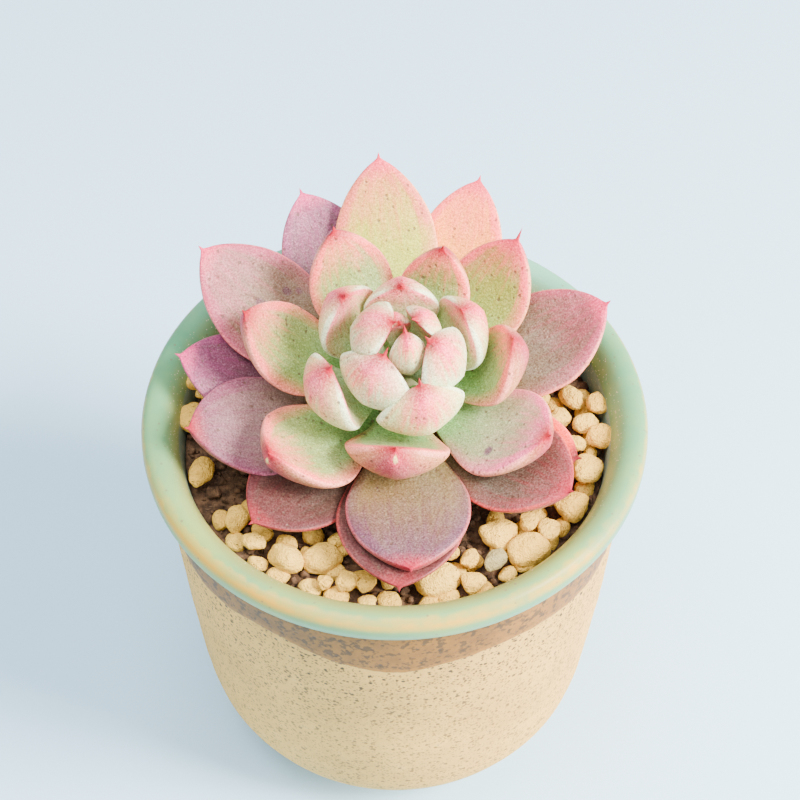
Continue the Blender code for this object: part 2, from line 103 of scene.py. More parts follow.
def both_ways(operation: str) -> Tuple[Callable[..., "Field"], Callable[..., "Field"]]:
    """Make an operator of two numbers.

    Args:
        operation: The Math node's operation.

    Returns:
        The operator, and its reflection for a field on the right.
    """
    def plain(one: "Field", other: Number) -> "Field":
        """The field first."""
        return one.maths(operation, one, other)

    def reflected(one: "Field", other: Number) -> "Field":
        """The field second."""
        return one.maths(operation, other, one)

    return plain, reflected


class Field:
    """A number that a node gives, which takes Python's operators.

    over gives one where the first is greater, and nought elsewhere. at_least gives the greater of
    two numbers and at_most the smaller.
    """

    def __init__(self, bench: "Bench", socket: NodeSocket) -> None:
        """Wrap a socket.

        Args:
            bench: The tree that the socket belongs to.
            socket: The output that gives the number.
        """
        self.bench = bench
        self.socket = socket

    def maths(self, operation: str, *values: Any) -> "Field":
        """Add one Math node.

        Args:
            operation: The node's operation.
            values: Its numbers, in order.

        Returns:
            The node's result.
        """
        sockets = dict(enumerate(values))
        return self.bench.field("ShaderNodeMath", 0, {"operation": operation}, sockets)

    __add__, __radd__ = both_ways("ADD")
    __sub__, __rsub__ = both_ways("SUBTRACT")
    __mul__, __rmul__ = both_ways("MULTIPLY")
    __truediv__, __rtruediv__ = both_ways("DIVIDE")
    __pow__, over, at_least, at_most = (both_ways(operation)[0] for operation in (
        "POWER", "GREATER_THAN", "MAXIMUM", "MINIMUM"))

    def __abs__(self) -> "Field":
        """Size without sign."""
        return self.maths("ABSOLUTE", self)

    def sin(self) -> "Field":
        """Sine of an angle in radians."""
        return self.maths("SINE", self)

    def cos(self) -> "Field":
        """Cosine of an angle in radians."""
        return self.maths("COSINE", self)

    def clamp(self) -> "Field":
        """Held between nought and one."""
        return self.at_least(0.0).at_most(1.0)

    def smooth(self, low: Number, high: Number) -> "Field":
        """Ease from nought at one value to one at another.

        Args:
            low: Where the rise starts.
            high: Where it ends.

        Returns:
            The eased share.
        """
        settings = {"interpolation_type": 'SMOOTHSTEP'}
        return self.bench.field("ShaderNodeMapRange", 0, settings, {0: self, 1: low, 2: high})


class Bench:
    """A node tree, with one way to add any node."""

    def __init__(self, tree: bpy.types.NodeTree) -> None:
        """Keep the tree.

        Args:
            tree: A shader's tree or a Geometry Nodes tree.
        """
        self.tree = tree

    def node(self, kind: str, settings: Optional[Dict[str, Any]] = None,
             sockets: Optional[Dict[Any, Any]] = None) -> bpy.types.Node:
        """Add a node.

        Args:
            kind: Its type's name.
            settings: Its own properties.
            sockets: Values or links of its inputs, by name or by number.

        Returns:
            The node.
        """
        made = self.tree.nodes.new(kind)
        for name, value in (settings or {}).items():
            setattr(made, name, value)
        for name, value in (sockets or {}).items():
            self.feed(made.inputs[name], value)
        return made

    def feed(self, socket: NodeSocket, value: Any) -> None:
        """Link or set one input.

        Args:
            socket: The input.
            value: A field, a socket, a colour or a plain value.
        """
        if isinstance(value, Field):
            value = value.socket
        if isinstance(value, NodeSocket):
            self.tree.links.new(value, socket)
        elif socket.type == 'RGBA' and len(value) == 3:
            socket.default_value = (*value, 1.0)
        else:
            socket.default_value = value

    def field(self, kind: str, output: Any = 0, settings: Optional[Dict[str, Any]] = None,
              sockets: Optional[Dict[Any, Any]] = None) -> Field:
        """Add a node and take one output as a field.

        Args:
            kind: The node's type.
            output: The output's name or number.
            settings: The node's own properties.
            sockets: Values or links of its inputs.

        Returns:
            The output.
        """
        return Field(self, self.node(kind, settings, sockets).outputs[output])

    def split(self, vector: NodeSocket) -> Tuple[Field, Field, Field]:
        """The three parts of a vector."""
        made = self.node("ShaderNodeSeparateXYZ", sockets={0: vector})
        return tuple(Field(self, made.outputs[part]) for part in range(3))

    def join(self, x: Number, y: Number, z: Number) -> NodeSocket:
        """A vector from its three parts."""
        return self.node("ShaderNodeCombineXYZ", sockets={0: x, 1: y, 2: z}).outputs[0]

    def vector(self, operation: str, first: Any, second: Any) -> NodeSocket:
        """Add one Vector Math node.

        Args:
            operation: The node's operation.
            first: Its first vector.
            second: Its second vector, or the factor of a scaling.

        Returns:
            The vector that it gives.
        """
        place = 3 if operation == 'SCALE' else 1
        settings = {"operation": operation}
        return self.node("ShaderNodeVectorMath", settings, {0: first, place: second}).outputs[0]

    def mix(self, factor: Number, first: Any, second: Any, way: str = 'MIX') -> NodeSocket:
        """Mix two colours.

        Args:
            factor: The share of the second.
            first: A colour or a socket.
            second: A colour or a socket.
            way: The blend's type.

        Returns:
            The mixed colour.
        """
        settings = {"data_type": 'RGBA', "blend_type": way, "clamp_factor": True}
        return self.node("ShaderNodeMix", settings, {0: factor, 6: first, 7: second}).outputs[2]

    def shaded(self, colour: Any, share: Field) -> NodeSocket:
        """A colour times a number."""
        return self.mix(1.0, colour, self.join(share, share, share), 'MULTIPLY')

    def noise(self, place: NodeSocket, scale: Number, detail: float = 2.0,
              roughness: float = 0.5) -> Field:
        """Even noise about a half.

        Args:
            place: The coordinates.
            scale: Lumps per metre.
            detail: Finer layers.
            roughness: How strong the finer layers are.

        Returns:
            The noise.
        """
        sockets = {"Vector": place, "Scale": scale, "Detail": detail, "Roughness": roughness}
        return self.field("ShaderNodeTexNoise", 0, None, sockets)

    def cells(self, place: NodeSocket, scale: float) -> Tuple[Field, Field]:
        """Distance from the middle of each of many cells, and a number that is the cell's own.

        Args:
            place: The coordinates.
            scale: Cells per metre.

        Returns:
            The distance, in cells, and the cell's number from nought to one.
        """
        made = self.node("ShaderNodeTexVoronoi", sockets={"Vector": place, "Scale": scale})
        red = self.split(self.vector('SCALE', made.outputs["Color"], 1.0))[0]
        return Field(self, made.outputs["Distance"]), red


class Surface(Bench):
    """A material in the making."""

    def __init__(self, name: str, **constants: Any) -> None:
        """Start a material.

        Args:
            name: The material's name.
            constants: Values of the shader's own sockets, with _ for each space.
        """
        self.material = bpy.data.materials.new(name)
        self.material.use_nodes = True
        super().__init__(self.material.node_tree)
        self.shader = self.tree.nodes["Principled BSDF"]
        self.place = self.node("ShaderNodeTexCoord").outputs["Object"]
        for socket, value in constants.items():
            self.feed(self.shader.inputs[socket.replace("_", " ")], value)

    def dress(self, colour: Any, roughness: Any, height: Optional[Field] = None,
              depth: float = 0.0) -> Material:
        """Give the shader what varies over the surface.

        Args:
            colour: The base colour.
            roughness: The roughness.
            height: Relief, from nought to one.
            depth: The relief's depth in metres.

        Returns:
            The finished material.
        """
        self.feed(self.shader.inputs["Base Color"], colour)
        self.feed(self.shader.inputs["Roughness"], roughness)
        if height is not None:
            bump = self.node("ShaderNodeBump", None,
                             {"Strength": 1.0, "Distance": depth, "Height": height})
            self.feed(self.shader.inputs["Normal"], bump.outputs[0])
        return self.material


class Kind(Enum):
    """What an input of a Geometry Nodes tree takes."""

    SHAPE = 'NodeSocketGeometry'
    WHOLE = 'NodeSocketInt'
    NUMBER = 'NodeSocketFloat'
    VECTOR = 'NodeSocketVector'
    CHOICE = 'NodeSocketBool'
    COLLECTION = 'NodeSocketCollection'
    MATERIAL = 'NodeSocketMaterial'


class Recipe(Bench):
    """A Geometry Nodes tree with named inputs."""

    def __init__(self, name: str, entries: Dict[Kind, Sequence[str]]) -> None:
        """Start a tree, which also takes a shape and a finish.

        Args:
            name: The tree's name.
            entries: Its other inputs' names by their kind.
        """
        super().__init__(bpy.data.node_groups.new(name, "GeometryNodeTree"))
        self.identifiers: Dict[str, str] = {}
        face = self.tree.interface
        for kind, names in {Kind.SHAPE: ["Shape"], Kind.MATERIAL: ["Finish"], **entries}.items():
            for entry in names:
                made = face.new_socket(entry, in_out='INPUT', socket_type=kind.value)
                self.identifiers[entry] = made.identifier
        face.new_socket("Shape", in_out='OUTPUT', socket_type=Kind.SHAPE.value)
        self.entry = self.node("NodeGroupInput").outputs
        self.way_out = self.node("NodeGroupOutput")

    def number(self, name: str) -> Field:
        """One of the tree's inputs as a field."""
        return Field(self, self.entry[name])

    def step(self, kind: str, sockets: Optional[Dict[Any, Any]] = None, output: Any = 0,
             **settings: Any) -> NodeSocket:
        """Add one node of geometry and take an output.

        Args:
            kind: Its type's name after GeometryNode.
            sockets: Values or links of its inputs.
            output: The output's name or number.
            settings: Its own properties.

        Returns:
            The output.
        """
        return self.node("GeometryNode" + kind, settings, sockets).outputs[output]

    def named(self, name: str) -> NodeSocket:
        """A vector that the geometry keeps under a name."""
        return self.step("InputNamedAttribute", {"Name": name}, data_type='FLOAT_VECTOR')

    def store(self, shape: NodeSocket, name: str, value: Any) -> NodeSocket:
        """Keep a vector under a name with the geometry."""
        return self.step("StoreNamedAttribute", {"Geometry": shape, "Name": name, "Value": value},
                         data_type='FLOAT_VECTOR')

    def finish(self, shape: NodeSocket) -> None:
        """End the tree in real geometry with its material.

        Args:
            shape: The geometry, which may hold instances.
        """
        real = self.step("RealizeInstances", {0: shape})
        dressed = self.step("SetMaterial", {0: real, "Material": self.entry["Finish"]})
        self.feed(self.way_out.inputs["Shape"], dressed)

    def bake(self, name: str, start: Optional[Mesh], values: Dict[str, Any]) -> Mesh:
        """Run the tree once.

        Args:
            name: The mesh's name.
            start: The mesh that the tree works on, if it needs one.
            values: The inputs' values by name.

        Returns:
            A plain mesh.
        """
        carrier = placed(name, start or bpy.data.meshes.new(name))
        modifier = carrier.modifiers.new("Recipe", 'NODES')
        modifier.node_group = self.tree
        for entry, value in values.items():
            modifier[self.identifiers[entry]] = value
        graph = bpy.context.evaluated_depsgraph_get()
        mesh = bpy.data.meshes.new_from_object(carrier.evaluated_get(graph))
        bpy.data.objects.remove(carrier, do_unlink=True)
        mesh.name = name
        mesh.materials.clear()
        mesh.materials.append(values["Finish"])
        mesh.polygons.foreach_set("material_index", [0] * len(mesh.polygons))
        return mesh


def skin_rows(shape: bmesh.types.BMesh, rows: Sequence[Sequence[bmesh.types.BMVert]]) -> None:
    """Join each closed row of points to the next with four-sided faces.

    Args:
        shape: The shape in the making.
        rows: Rows of equally many points.
    """
    for lower, upper in zip(rows, rows[1:]):
        for side, (near, far) in enumerate(zip(lower, upper)):
            after = (side + 1) % len(lower)
            shape.faces.new((near, lower[after], upper[after], far))


def placed(name: str, data: bpy.types.ID) -> Object:
    """Put a mesh, a lamp or a camera into the scene."""
    made = bpy.data.objects.new(name, data)
    bpy.context.scene.collection.objects.link(made)
    return made


def drawn_size(draw: random.Random, length: float, corners: int) -> Vector:
    """The three sides of a stone.

    Args:
        draw: The seeded draw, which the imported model's source uses in the same order.
        length: The long side.
        corners: How many corners the plain stone has there, each with a draw of its own.

    Returns:
        The sides.
    """
    size = Vector((length, length * draw.uniform(0.74, 0.9), length * draw.uniform(0.6, 0.76)))
    for _ in range(corners):
        draw.random()
    return size


def settled(shape: bmesh.types.BMesh, name: str, finish: Material) -> Mesh:
    """Turn a shape in the making into a smooth mesh.

    Args:
        shape: The shape, which is used up.
        name: The mesh's name.
        finish: Its material.

    Returns:
        The mesh.
    """
    mesh = bpy.data.meshes.new(name)
    shape.to_mesh(mesh)
    shape.free()
    mesh.shade_smooth()
    mesh.materials.append(finish)
    return mesh


def around(turn: float, out: float, height: float) -> Vector:
    """A place by its direction in radians, its distance from the axis and its height."""
    return Vector((out * math.cos(turn), out * math.sin(turn), height))


def add_piece(name: str, mesh: Mesh, nodes: Sequence[str]) -> Object:
    """Put a finished mesh into the scene as a piece of the object.

    Args:
        name: The piece's name.
        mesh: Its mesh, in place.
        nodes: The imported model's nodes that it stands for.

    Returns:
        The piece.
    """
    piece = placed(name, mesh)
    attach(piece, "root")
    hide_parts(*nodes)
    LOG.info("%s: %d faces", name, len(mesh.polygons))
    return piece


# Finishes

@dataclass(frozen=True)
class Mark:
    """A small scar on a leaf.

    Attributes:
        along: Its place along the blade, from nought at the stem to one at the tip.
        across: Its place across, from -1 to 1.
        size: Its radius in shares of the blade.
        colour: Its colour.
        under: Whether only the lower face has it.
        stretch: Half the leaf's width there, in shares of its length.
    """

    along: float
    across: float
    size: float
    colour: Colour
    under: bool = False
    stretch: float = 0.3


@dataclass(frozen=True)
class LeafSkin:
    """Skin of a fleshy leaf under its pale bloom.

    Attributes:
        heart: Upper face near the stem.
        blade: Middle of the upper face.
        blush: Towards the margin and the tip.
        tip: The pointed end.
        back: Lower face near the stem.
        back_blade: Middle of the lower face.
        back_blush: Lower face towards the tip.
        edge: The thin line along the margin: the margin's own colour, and where it is pale, a
            painted highlight on the rounded edge.
        blush_from: Where along the blade the blush starts.
        blush_to: Where it is full.
        margin: Strength of the blush along the margin.
        bloom: Strength of the white bloom.
        marks: Scars.
        bloom_colour: The bloom's own colour.
        pit: Small dark pits.
    """

    heart: Colour
    blade: Colour
    blush: Colour
    tip: Colour
    back: Colour
    back_blade: Colour
    back_blush: Colour
    edge: Colour = (0.92, 0.42, 0.30)
    blush_from: float = 0.55
    blush_to: float = 1.05
    margin: float = 0.7
    bloom: float = 0.2
    marks: Tuple[Mark, ...] = ()
    bloom_colour: Colour = (0.62, 0.74, 0.62)
    pit: Colour = (0.10, 0.05, 0.035)

    def make(self, name: str) -> Material:
        """Build the material.

        Args:
            name: The material's name.

        Returns:
            The material, which reads the leaf's own place attribute.
        """
        skin = Surface(name, Subsurface_Weight=0.06, Subsurface_Scale=0.0015,
                       Subsurface_Radius=(1.0, 0.55, 0.35), Sheen_Weight=0.04,
                       Sheen_Roughness=0.5, Specular_IOR_Level=0.22)
        own = skin.node("ShaderNodeAttribute", {"attribute_name": "leaf_place"}).outputs["Vector"]
        along, across, face = skin.split(own)
        cloud = skin.noise(skin.place, 180.0, 3.0) - 0.5
        mottle = skin.noise(skin.place, 900.0, 2.0) - 0.5
        strokes = skin.noise(skin.join(along * 3.0 + cloud, across * 9.0, face.over(0.0) * 5.0),
                             1.0, 3.0, 0.6) - 0.5
        ripe = along + cloud * 0.25 + mottle * 0.12 + strokes * 0.42
        margin = (abs(across) + cloud * 0.2 + strokes * 0.2).smooth(0.6, 1.02)
        margin = margin * along.smooth(0.15, 0.6)
        blush = (ripe.smooth(self.blush_from, self.blush_to) + margin * self.margin).clamp()
        upper = skin.mix(ripe.smooth(0.12, 0.72), self.heart, self.blade)
        upper = skin.mix(blush, upper, self.blush)
        keel = 1 - (abs(across) + cloud * 0.3).smooth(0.2, 1.0)
        lower = skin.mix(ripe.smooth(0.5, 0.88) * (keel * 0.7 + 0.3), self.back, self.back_blade)
        lower = skin.mix(ripe.smooth(0.66, 0.97) * (keel * 0.7 + 0.3), lower, self.back_blush)
        colour = skin.mix((face + cloud * 0.15).smooth(-0.1, 0.1), lower, upper)
        # Thin line along the margin in the edge colour: the margin's own colour, and where that
        # colour is pale, a painted highlight on the rounded edge.
        line = (abs(across) + cloud * 0.04).smooth(0.94, 0.99) * along.smooth(0.2, 0.5)
        colour = skin.mix(line * (1 - along.smooth(0.9, 1.0)) * 0.7, colour, self.edge)
        end = along.smooth(0.9, 1.0) + (mottle + cloud) * 0.4 * along.smooth(0.85, 0.95)
        colour = skin.mix(end.clamp(), colour, self.tip)
        for mark in self.marks:
            shown = 1 - (face + cloud * 0.15).smooth(-0.1, 0.1) * float(mark.under)
            colour = self.scar(skin, colour, mark, along, across, mottle, shown)
        bloom = skin.noise(skin.place, 60.0, 4.0, 0.6)
        grain = skin.noise(skin.place, 3200.0, 2.0, 0.7)
        frost = (bloom * 0.7 + grain * 0.7 + cloud * 0.4 - strokes * 0.3).smooth(0.5, 1.0)
        frost = frost * self.bloom * (1 - along.smooth(0.97, 1.0))
        colour = skin.mix(frost, colour, self.bloom_colour)
        shade = (grain - 0.5) * 1.9 + (mottle * 0.3 + 1.0)
        colour = skin.shaded(colour, shade)
        spot, own_number = skin.cells(skin.place, 800.0)
        pit = (1 - (spot + mottle * 0.6).smooth(0.08, 0.26)) * (own_number + cloud).over(0.55)
        colour = skin.mix(pit * 0.7, colour, self.pit)
        # Brightened dots: the bloom's grains, and in part a painted glint on them.
        dot, dot_number = skin.cells(skin.place, 1500.0)
        bloom_grain_glint = (1 - dot.smooth(0.12, 0.3)) * dot_number.over(0.45) * 0.45 + 1.0
        colour = skin.shaded(colour, bloom_grain_glint)
        relief = grain * 0.5 + bloom * 0.5 - pit * 0.6 + mottle * 0.7 + strokes * 0.6
        return skin.dress(colour, 0.5 - (along.smooth(0.6, 1.0)) * 0.12 + frost * 0.4, relief,
                          0.00013)

    @staticmethod
    def scar(skin: Surface, colour: Any, mark: Mark, along: Field, across: Field,
             mottle: Field, shown: Field) -> Any:
        """Paint one scar.

        Args:
            skin: The material in the making.
            colour: The colour so far.
            mark: The scar.
            along: Place along the blade.
            across: Place across it.
            mottle: Noise that frays the scar's edge.
            shown: One on the faces that have it.

        Returns:
            The colour with the scar.
        """
        beside = (across - mark.across) * mark.stretch
        reach = ((along - mark.along) ** 2.0 + beside ** 2.0) ** 0.5
        share = 1 - (reach + mottle * 0.02).smooth(mark.size * 0.45, mark.size)
        return skin.mix(share * shown * 0.9, colour, mark.colour)


@dataclass(frozen=True)
class Stoneware:
    """Speckled stoneware with a green glazed rim and a brown band under it."""

    clay: Colour = (0.56, 0.30, 0.065)
    clay_pale: Colour = (0.82, 0.44, 0.09)
    fleck: Colour = (0.05, 0.035, 0.02)
    band: Colour = (0.15, 0.057, 0.002)
    band_dark: Colour = (0.025, 0.014, 0.003)
    band_edge: Colour = (0.36, 0.14, 0.005)
    celadon: Colour = (0.16, 0.32, 0.13)
    celadon_deep: Colour = (0.08, 0.27, 0.145)
    rear_glaze: Colour = (0.17, 0.50, 0.38)
    olive: Colour = (0.32, 0.35, 0.04)
    broken: Colour = (0.60, 0.33, 0.03)
    khaki: Colour = (0.22, 0.22, 0.06)
    lip_line: Colour = (0.20, 0.30, 0.28)
    pale_patch: Colour = (0.46, 0.34, 0.22)
    dust: Colour = (0.86, 0.76, 0.55)
    pinhole: Colour = (0.16, 0.12, 0.08)
    band_drop: float = 16.6 * MM
    wave: float = 1.5 * MM

    def make(self, name: str) -> Material:
        """Build the material.

        Args:
            name: The material's name.

        Returns:
            The material, which reads the height and the way round the pot.
        """
        pot = Surface(name, Specular_IOR_Level=0.12)
        x, y, z = pot.split(pot.place)
        drop = RIM_HEIGHT - z
        out = (x * x + y * y) ** 0.5
        turn = pot.field("ShaderNodeMath", 0, {"operation": 'ARCTAN2'}, {0: y, 1: x})
        slow = pot.noise(pot.place, 45.0, 2.0) - 0.5
        fine = pot.noise(pot.place, 420.0, 3.0) - 0.5
        grain = pot.noise(pot.place, 1500.0, 2.0) - 0.5
        body = pot.mix((slow * 1.6 + fine + 0.5).clamp(), self.clay, self.clay_pale)
        near_band = 1 - drop.smooth(18 * MM, 45 * MM)
        fleck = self.flecks(pot, pot.place, 600.0, 0.27, 0.3, grain)
        small = self.flecks(pot, pot.place, 1050.0, 0.34, 0.3, grain)
        tiny = self.flecks(pot, pot.place, 1700.0, 0.4, 0.4, grain)
        sown = (fleck + small * 0.9 + tiny * 0.7).clamp() * (near_band * 0.3 + 0.66)
        body = pot.mix(sown, body, self.fleck)
        body = pot.mix((fine + 0.5).smooth(0.62, 0.9) * 0.35, body, self.pale_patch)
        edge = (self.band_drop + (turn * 6.0 - 3.1).cos() * self.wave + slow * 0.004
                + (turn - 5.7).cos() * 0.0012)
        inside = (1 - out.over(40.4 * MM)) * (1 - drop.over(14 * MM))
        under = drop.smooth(4.2 * MM, 4.5 * MM) * (1 - inside)
        band = under * (1 - (drop - edge + fine * 0.0008).smooth(-0.0001, 0.0001))
        near_edge = (drop - edge).smooth(-0.0016, -0.0001)
        mottle = pot.noise(pot.place, 700.0, 2.0, 0.6)
        blotch = (mottle + fine * 0.5).smooth(0.5, 0.62) * (1 - near_edge * 0.6)
        brown = pot.mix((slow * 1.5 + fine + 0.5).clamp(), self.band, self.band_edge)
        brown = pot.mix(near_edge * 0.8, brown, self.band_edge)
        brown = pot.mix(blotch * 0.7, brown, self.band_dark)
        brown = pot.mix((small + fleck).clamp() * 0.45, brown, self.band_dark)
        glaze = 1 - under
        front = (0.0 - y / out).smooth(0.1, 0.95)
        green = pot.mix((slow * 2.0 + fine * 0.8 + 0.5).clamp(), self.celadon_deep, self.celadon)
        green = pot.mix(front * (slow * 2.0 + 0.55).clamp() * 0.7, green, self.olive)
        green = pot.mix((y / out).smooth(0.3, 0.95) * 0.7, green, self.rear_glaze)
        crest = (out + fine * MM).smooth(44.0 * MM, 44.7 * MM)
        near_crest = (out + fine * 2 * MM).smooth(42.8 * MM, 43.8 * MM) * front
        inner_edge = 1 - (out + slow * 3 * MM).smooth(39.6 * MM, 41.4 * MM)
        worn = (crest * 0.5 + near_crest * 0.6) * (1 - drop.smooth(-0.6 * MM, 1.0 * MM))
        worn = (worn + inner_edge * 0.2) * (slow * 1.6 + fine * 0.9 + 0.8).clamp()
        green = pot.mix((1 - (out + slow * 3 * MM).smooth(41.0 * MM, 43.0 * MM)) * front * 0.85,
                        green, self.khaki)
        green = pot.mix(worn.clamp(), green, self.broken)
        green = pot.mix(drop.smooth(2.9 * MM, 3.6 * MM) * 0.75, green, self.lip_line)
        dusty, dust_number = pot.cells(pot.place, 1900.0)
        dust = (1 - dusty.smooth(0.1, 0.28)) * dust_number.over(0.5) * inner_edge
        green = pot.mix(dust * 0.8, green, self.dust)
        pin = self.flecks(pot, pot.place, 700.0, 0.2, 0.7, fine)
        green = pot.mix(pin * 0.6, green, self.pinhole)
        colour = pot.mix(band, body, brown)
        colour = pot.mix(glaze, colour, green)
        rough = 0.66 - band * 0.22 - glaze * 0.38 + dust * 0.3
        height = (grain * 0.7 + fine * 0.8 - fleck * 0.5) * (1 - band * 0.7) * (1 - glaze * 0.85)
        height = height + band * 0.6 + glaze * 0.6
        return pot.dress(colour, rough, height, 0.00012)

    @staticmethod
    def flecks(pot: Surface, place: Any, scale: float, size: float, rare: float,
               fray: Field) -> Field:
        """Scattered small spots.

        Args:
            pot: The material in the making.
            place: The coordinates.
            scale: Cells per metre, each with one spot at most.
            size: A spot's radius in cells.
            rare: Share of the cells that stay bare.
            fray: Noise that frays the spots.

        Returns:
            One inside the spots.
        """
        spot, number = pot.cells(place, scale)
        return (1 - (spot + fray * 0.25).smooth(size * 0.6, size)) * number.over(rare)


@dataclass(frozen=True)
class Pebble:
    """Skin of a dusty volcanic pebble."""

    pale: Colour = (1.0, 0.63, 0.12)
    deep: Colour = (0.80, 0.45, 0.065)
    stain: Colour = (0.40, 0.23, 0.06)

    def make(self, name: str) -> Material:
        """Build the material.

        Args:
            name: The material's name.

        Returns:
            The material, which reads each stone's own shade.
        """
        stone = Surface(name, Specular_IOR_Level=0.2)
        shade = stone.field("ShaderNodeAttribute", "Fac", {"attribute_name": "shade"})
        lump = stone.noise(stone.place, 260.0, 3.0) - 0.5
        fine = stone.noise(stone.place, 1300.0, 3.0, 0.6) - 0.5
        dust = stone.noise(stone.place, 3600.0, 2.0) - 0.5
        colour = stone.mix((shade * 0.6 + lump * 0.9 + fine * 0.5 + 0.2).clamp(), self.deep,
                           self.pale)
        stained = (lump + fine * 0.9 + 0.5).smooth(0.66, 0.95)
        colour = stone.mix(stained * 0.55, colour, self.stain)
        pore, number = stone.cells(stone.place, 1500.0)
        pores = (1 - pore.smooth(0.1, 0.24)) * number.over(0.7)
        colour = stone.mix(pores * 0.5, colour, self.stain)
        colour = stone.shaded(colour, dust * 0.3 + 1.0)
        return stone.dress(colour, 0.92, fine + dust * 0.9 - pores + lump * 0.5, 0.0006)


@dataclass(frozen=True)
class Earth:
    """Dark peaty soil."""

    dark: Colour = (0.045, 0.025, 0.015)
    brown: Colour = (0.16, 0.088, 0.048)
    fibre: Colour = (0.22, 0.14, 0.085)

    def make(self, name: str) -> Material:
        """Build the material.

        Args:
            name: The material's name.

        Returns:
            The material.
        """
        soil = Surface(name, Specular_IOR_Level=0.15)
        lump = soil.noise(soil.place, 500.0, 4.0, 0.65)
        fine = soil.noise(soil.place, 2600.0, 3.0, 0.7)
        colour = soil.mix(lump.smooth(0.35, 0.7), self.dark, self.brown)
        strands = soil.noise(soil.vector('MULTIPLY', soil.place, (1.0, 4.0, 2.0)), 900.0, 2.0)
        colour = soil.mix(strands.smooth(0.62, 0.74) * 0.6, colour, self.fibre)
        return soil.dress(colour, 0.95, lump + fine * 0.6, 0.0005)


@dataclass(frozen=True)
class Bark:
    """The stem's drying skin."""

    green: Colour = (0.36, 0.36, 0.20)
    brown: Colour = (0.26, 0.17, 0.10)
    flake: Colour = (0.45, 0.36, 0.24)

    def make(self, name: str) -> Material:
        """Build the material.

        Args:
            name: The material's name.

        Returns:
            The material.
        """
        bark = Surface(name, Specular_IOR_Level=0.3)
        lump = bark.noise(bark.place, 400.0, 3.0)
        fine = bark.noise(bark.place, 2200.0, 3.0)
        colour = bark.mix(lump.smooth(0.35, 0.65), self.green, self.brown)
        colour = bark.mix(fine.smooth(0.55, 0.75) * 0.5, colour, self.flake)
        return bark.dress(colour, 0.8, lump * 0.7 + fine * 0.5, 0.0002)


@dataclass(frozen=True)
class Backdrop:
    """Plain pale matte surface."""

    colour: Colour = (0.44, 0.71, 0.96)

    def make(self, name: str) -> Material:
        """Build the material.

        Args:
            name: The material's name.

        Returns:
            The material.
        """
        cloth = Surface(name)
        weave = cloth.noise(cloth.place, 900.0, 2.0) - 0.5
        return cloth.dress(cloth.shaded(self.colour, weave * 0.04 + 1.0), 0.9)


GREY_PEBBLE = Pebble(
    pale=(0.45, 0.35, 0.12), deep=(0.36, 0.30, 0.16), stain=(0.15, 0.12, 0.08))
RED_TIP: Colour = (0.38, 0.003, 0.02)
DRY_DOTS = (Mark(0.965, 0.0, 0.06, (0.62, 0.02, 0.06), True, 0.12),
            Mark(0.966, 0.03, 0.026, (0.86, 0.58, 0.20), True, 0.12))

# FROSTED and MINT: their pale edge colour is in part a painted highlight on the leaf's rounded
# margin.
FROSTED = LeafSkin(
    heart=(0.32, 0.48, 0.22), blade=(0.50, 0.40, 0.18), blush=(0.84, 0.12, 0.17), tip=RED_TIP,
    back=(0.55, 0.78, 0.38), back_blade=(0.80, 0.22, 0.06), back_blush=(0.90, 0.07, 0.15),
    edge=(0.74, 0.90, 0.60), blush_from=0.6, bloom=0.26, margin=0.2)
MINT = replace(
    FROSTED, heart=(0.20, 0.40, 0.13), blade=(0.40, 0.38, 0.13), blush=(0.80, 0.12, 0.16),
    back=(0.60, 0.80, 0.30), back_blade=(0.82, 0.20, 0.045), back_blush=(0.88, 0.07, 0.14),
    bloom=0.2)
PEACH_EDGED = LeafSkin(
    heart=(0.13, 0.31, 0.075), blade=(0.22, 0.27, 0.065), blush=(0.84, 0.11, 0.10), tip=RED_TIP,
    back=(0.62, 0.27, 0.08), back_blade=(0.36, 0.06, 0.045), back_blush=(0.46, 0.035, 0.065),
    edge=(0.92, 0.26, 0.20), blush_from=0.66, bloom=0.1, margin=0.8)
LIME = LeafSkin(
    heart=(0.30, 0.48, 0.06), blade=(0.42, 0.40, 0.03), blush=(0.66, 0.12, 0.08),
    tip=(0.72, 0.03, 0.08), back=(0.40, 0.22, 0.07), back_blade=(0.50, 0.14, 0.07),
    back_blush=(0.56, 0.08, 0.09), edge=(0.95, 0.34, 0.16), blush_from=0.6, bloom=0.08,
    margin=0.75)
VERDANT = replace(
    LIME, heart=(0.08, 0.32, 0.045), blade=(0.26, 0.28, 0.04), blush=(0.90, 0.085, 0.11),
    blush_from=0.68)
ROSE = LeafSkin(
    heart=(0.17, 0.11, 0.04), blade=(0.17, 0.08, 0.045), blush=(0.42, 0.05, 0.11),
    tip=(0.66, 0.02, 0.10), back=(0.38, 0.12, 0.05), back_blade=(0.46, 0.10, 0.06),
    back_blush=(0.54, 0.05, 0.07), edge=(0.72, 0.13, 0.16), blush_from=0.6, bloom=0.12,
    margin=0.65)
MAUVE = replace(
    ROSE, heart=(0.14, 0.105, 0.035), blade=(0.12, 0.06, 0.036), blush=(0.36, 0.05, 0.09),
    edge=(0.86, 0.20, 0.15))
DUSK = LeafSkin(
    heart=(0.17, 0.125, 0.022), blade=(0.14, 0.07, 0.038), blush=(0.11, 0.028, 0.06),
    tip=(0.34, 0.008, 0.03), back=(0.18, 0.06, 0.03), back_blade=(0.26, 0.05, 0.03),
    back_blush=(0.36, 0.03, 0.03), edge=(0.46, 0.07, 0.09), blush_from=0.5, bloom=0.08,
    margin=0.6)
HEATHER = replace(
    DUSK, heart=(0.22, 0.17, 0.085), blade=(0.22, 0.115, 0.11), blush=(0.20, 0.045, 0.09),
    edge=(0.36, 0.06, 0.13))
PLUM = replace(
    DUSK, heart=(0.07, 0.05, 0.015), blade=(0.06, 0.026, 0.016), blush=(0.20, 0.02, 0.03),
    edge=(0.62, 0.03, 0.035), blush_from=0.62)
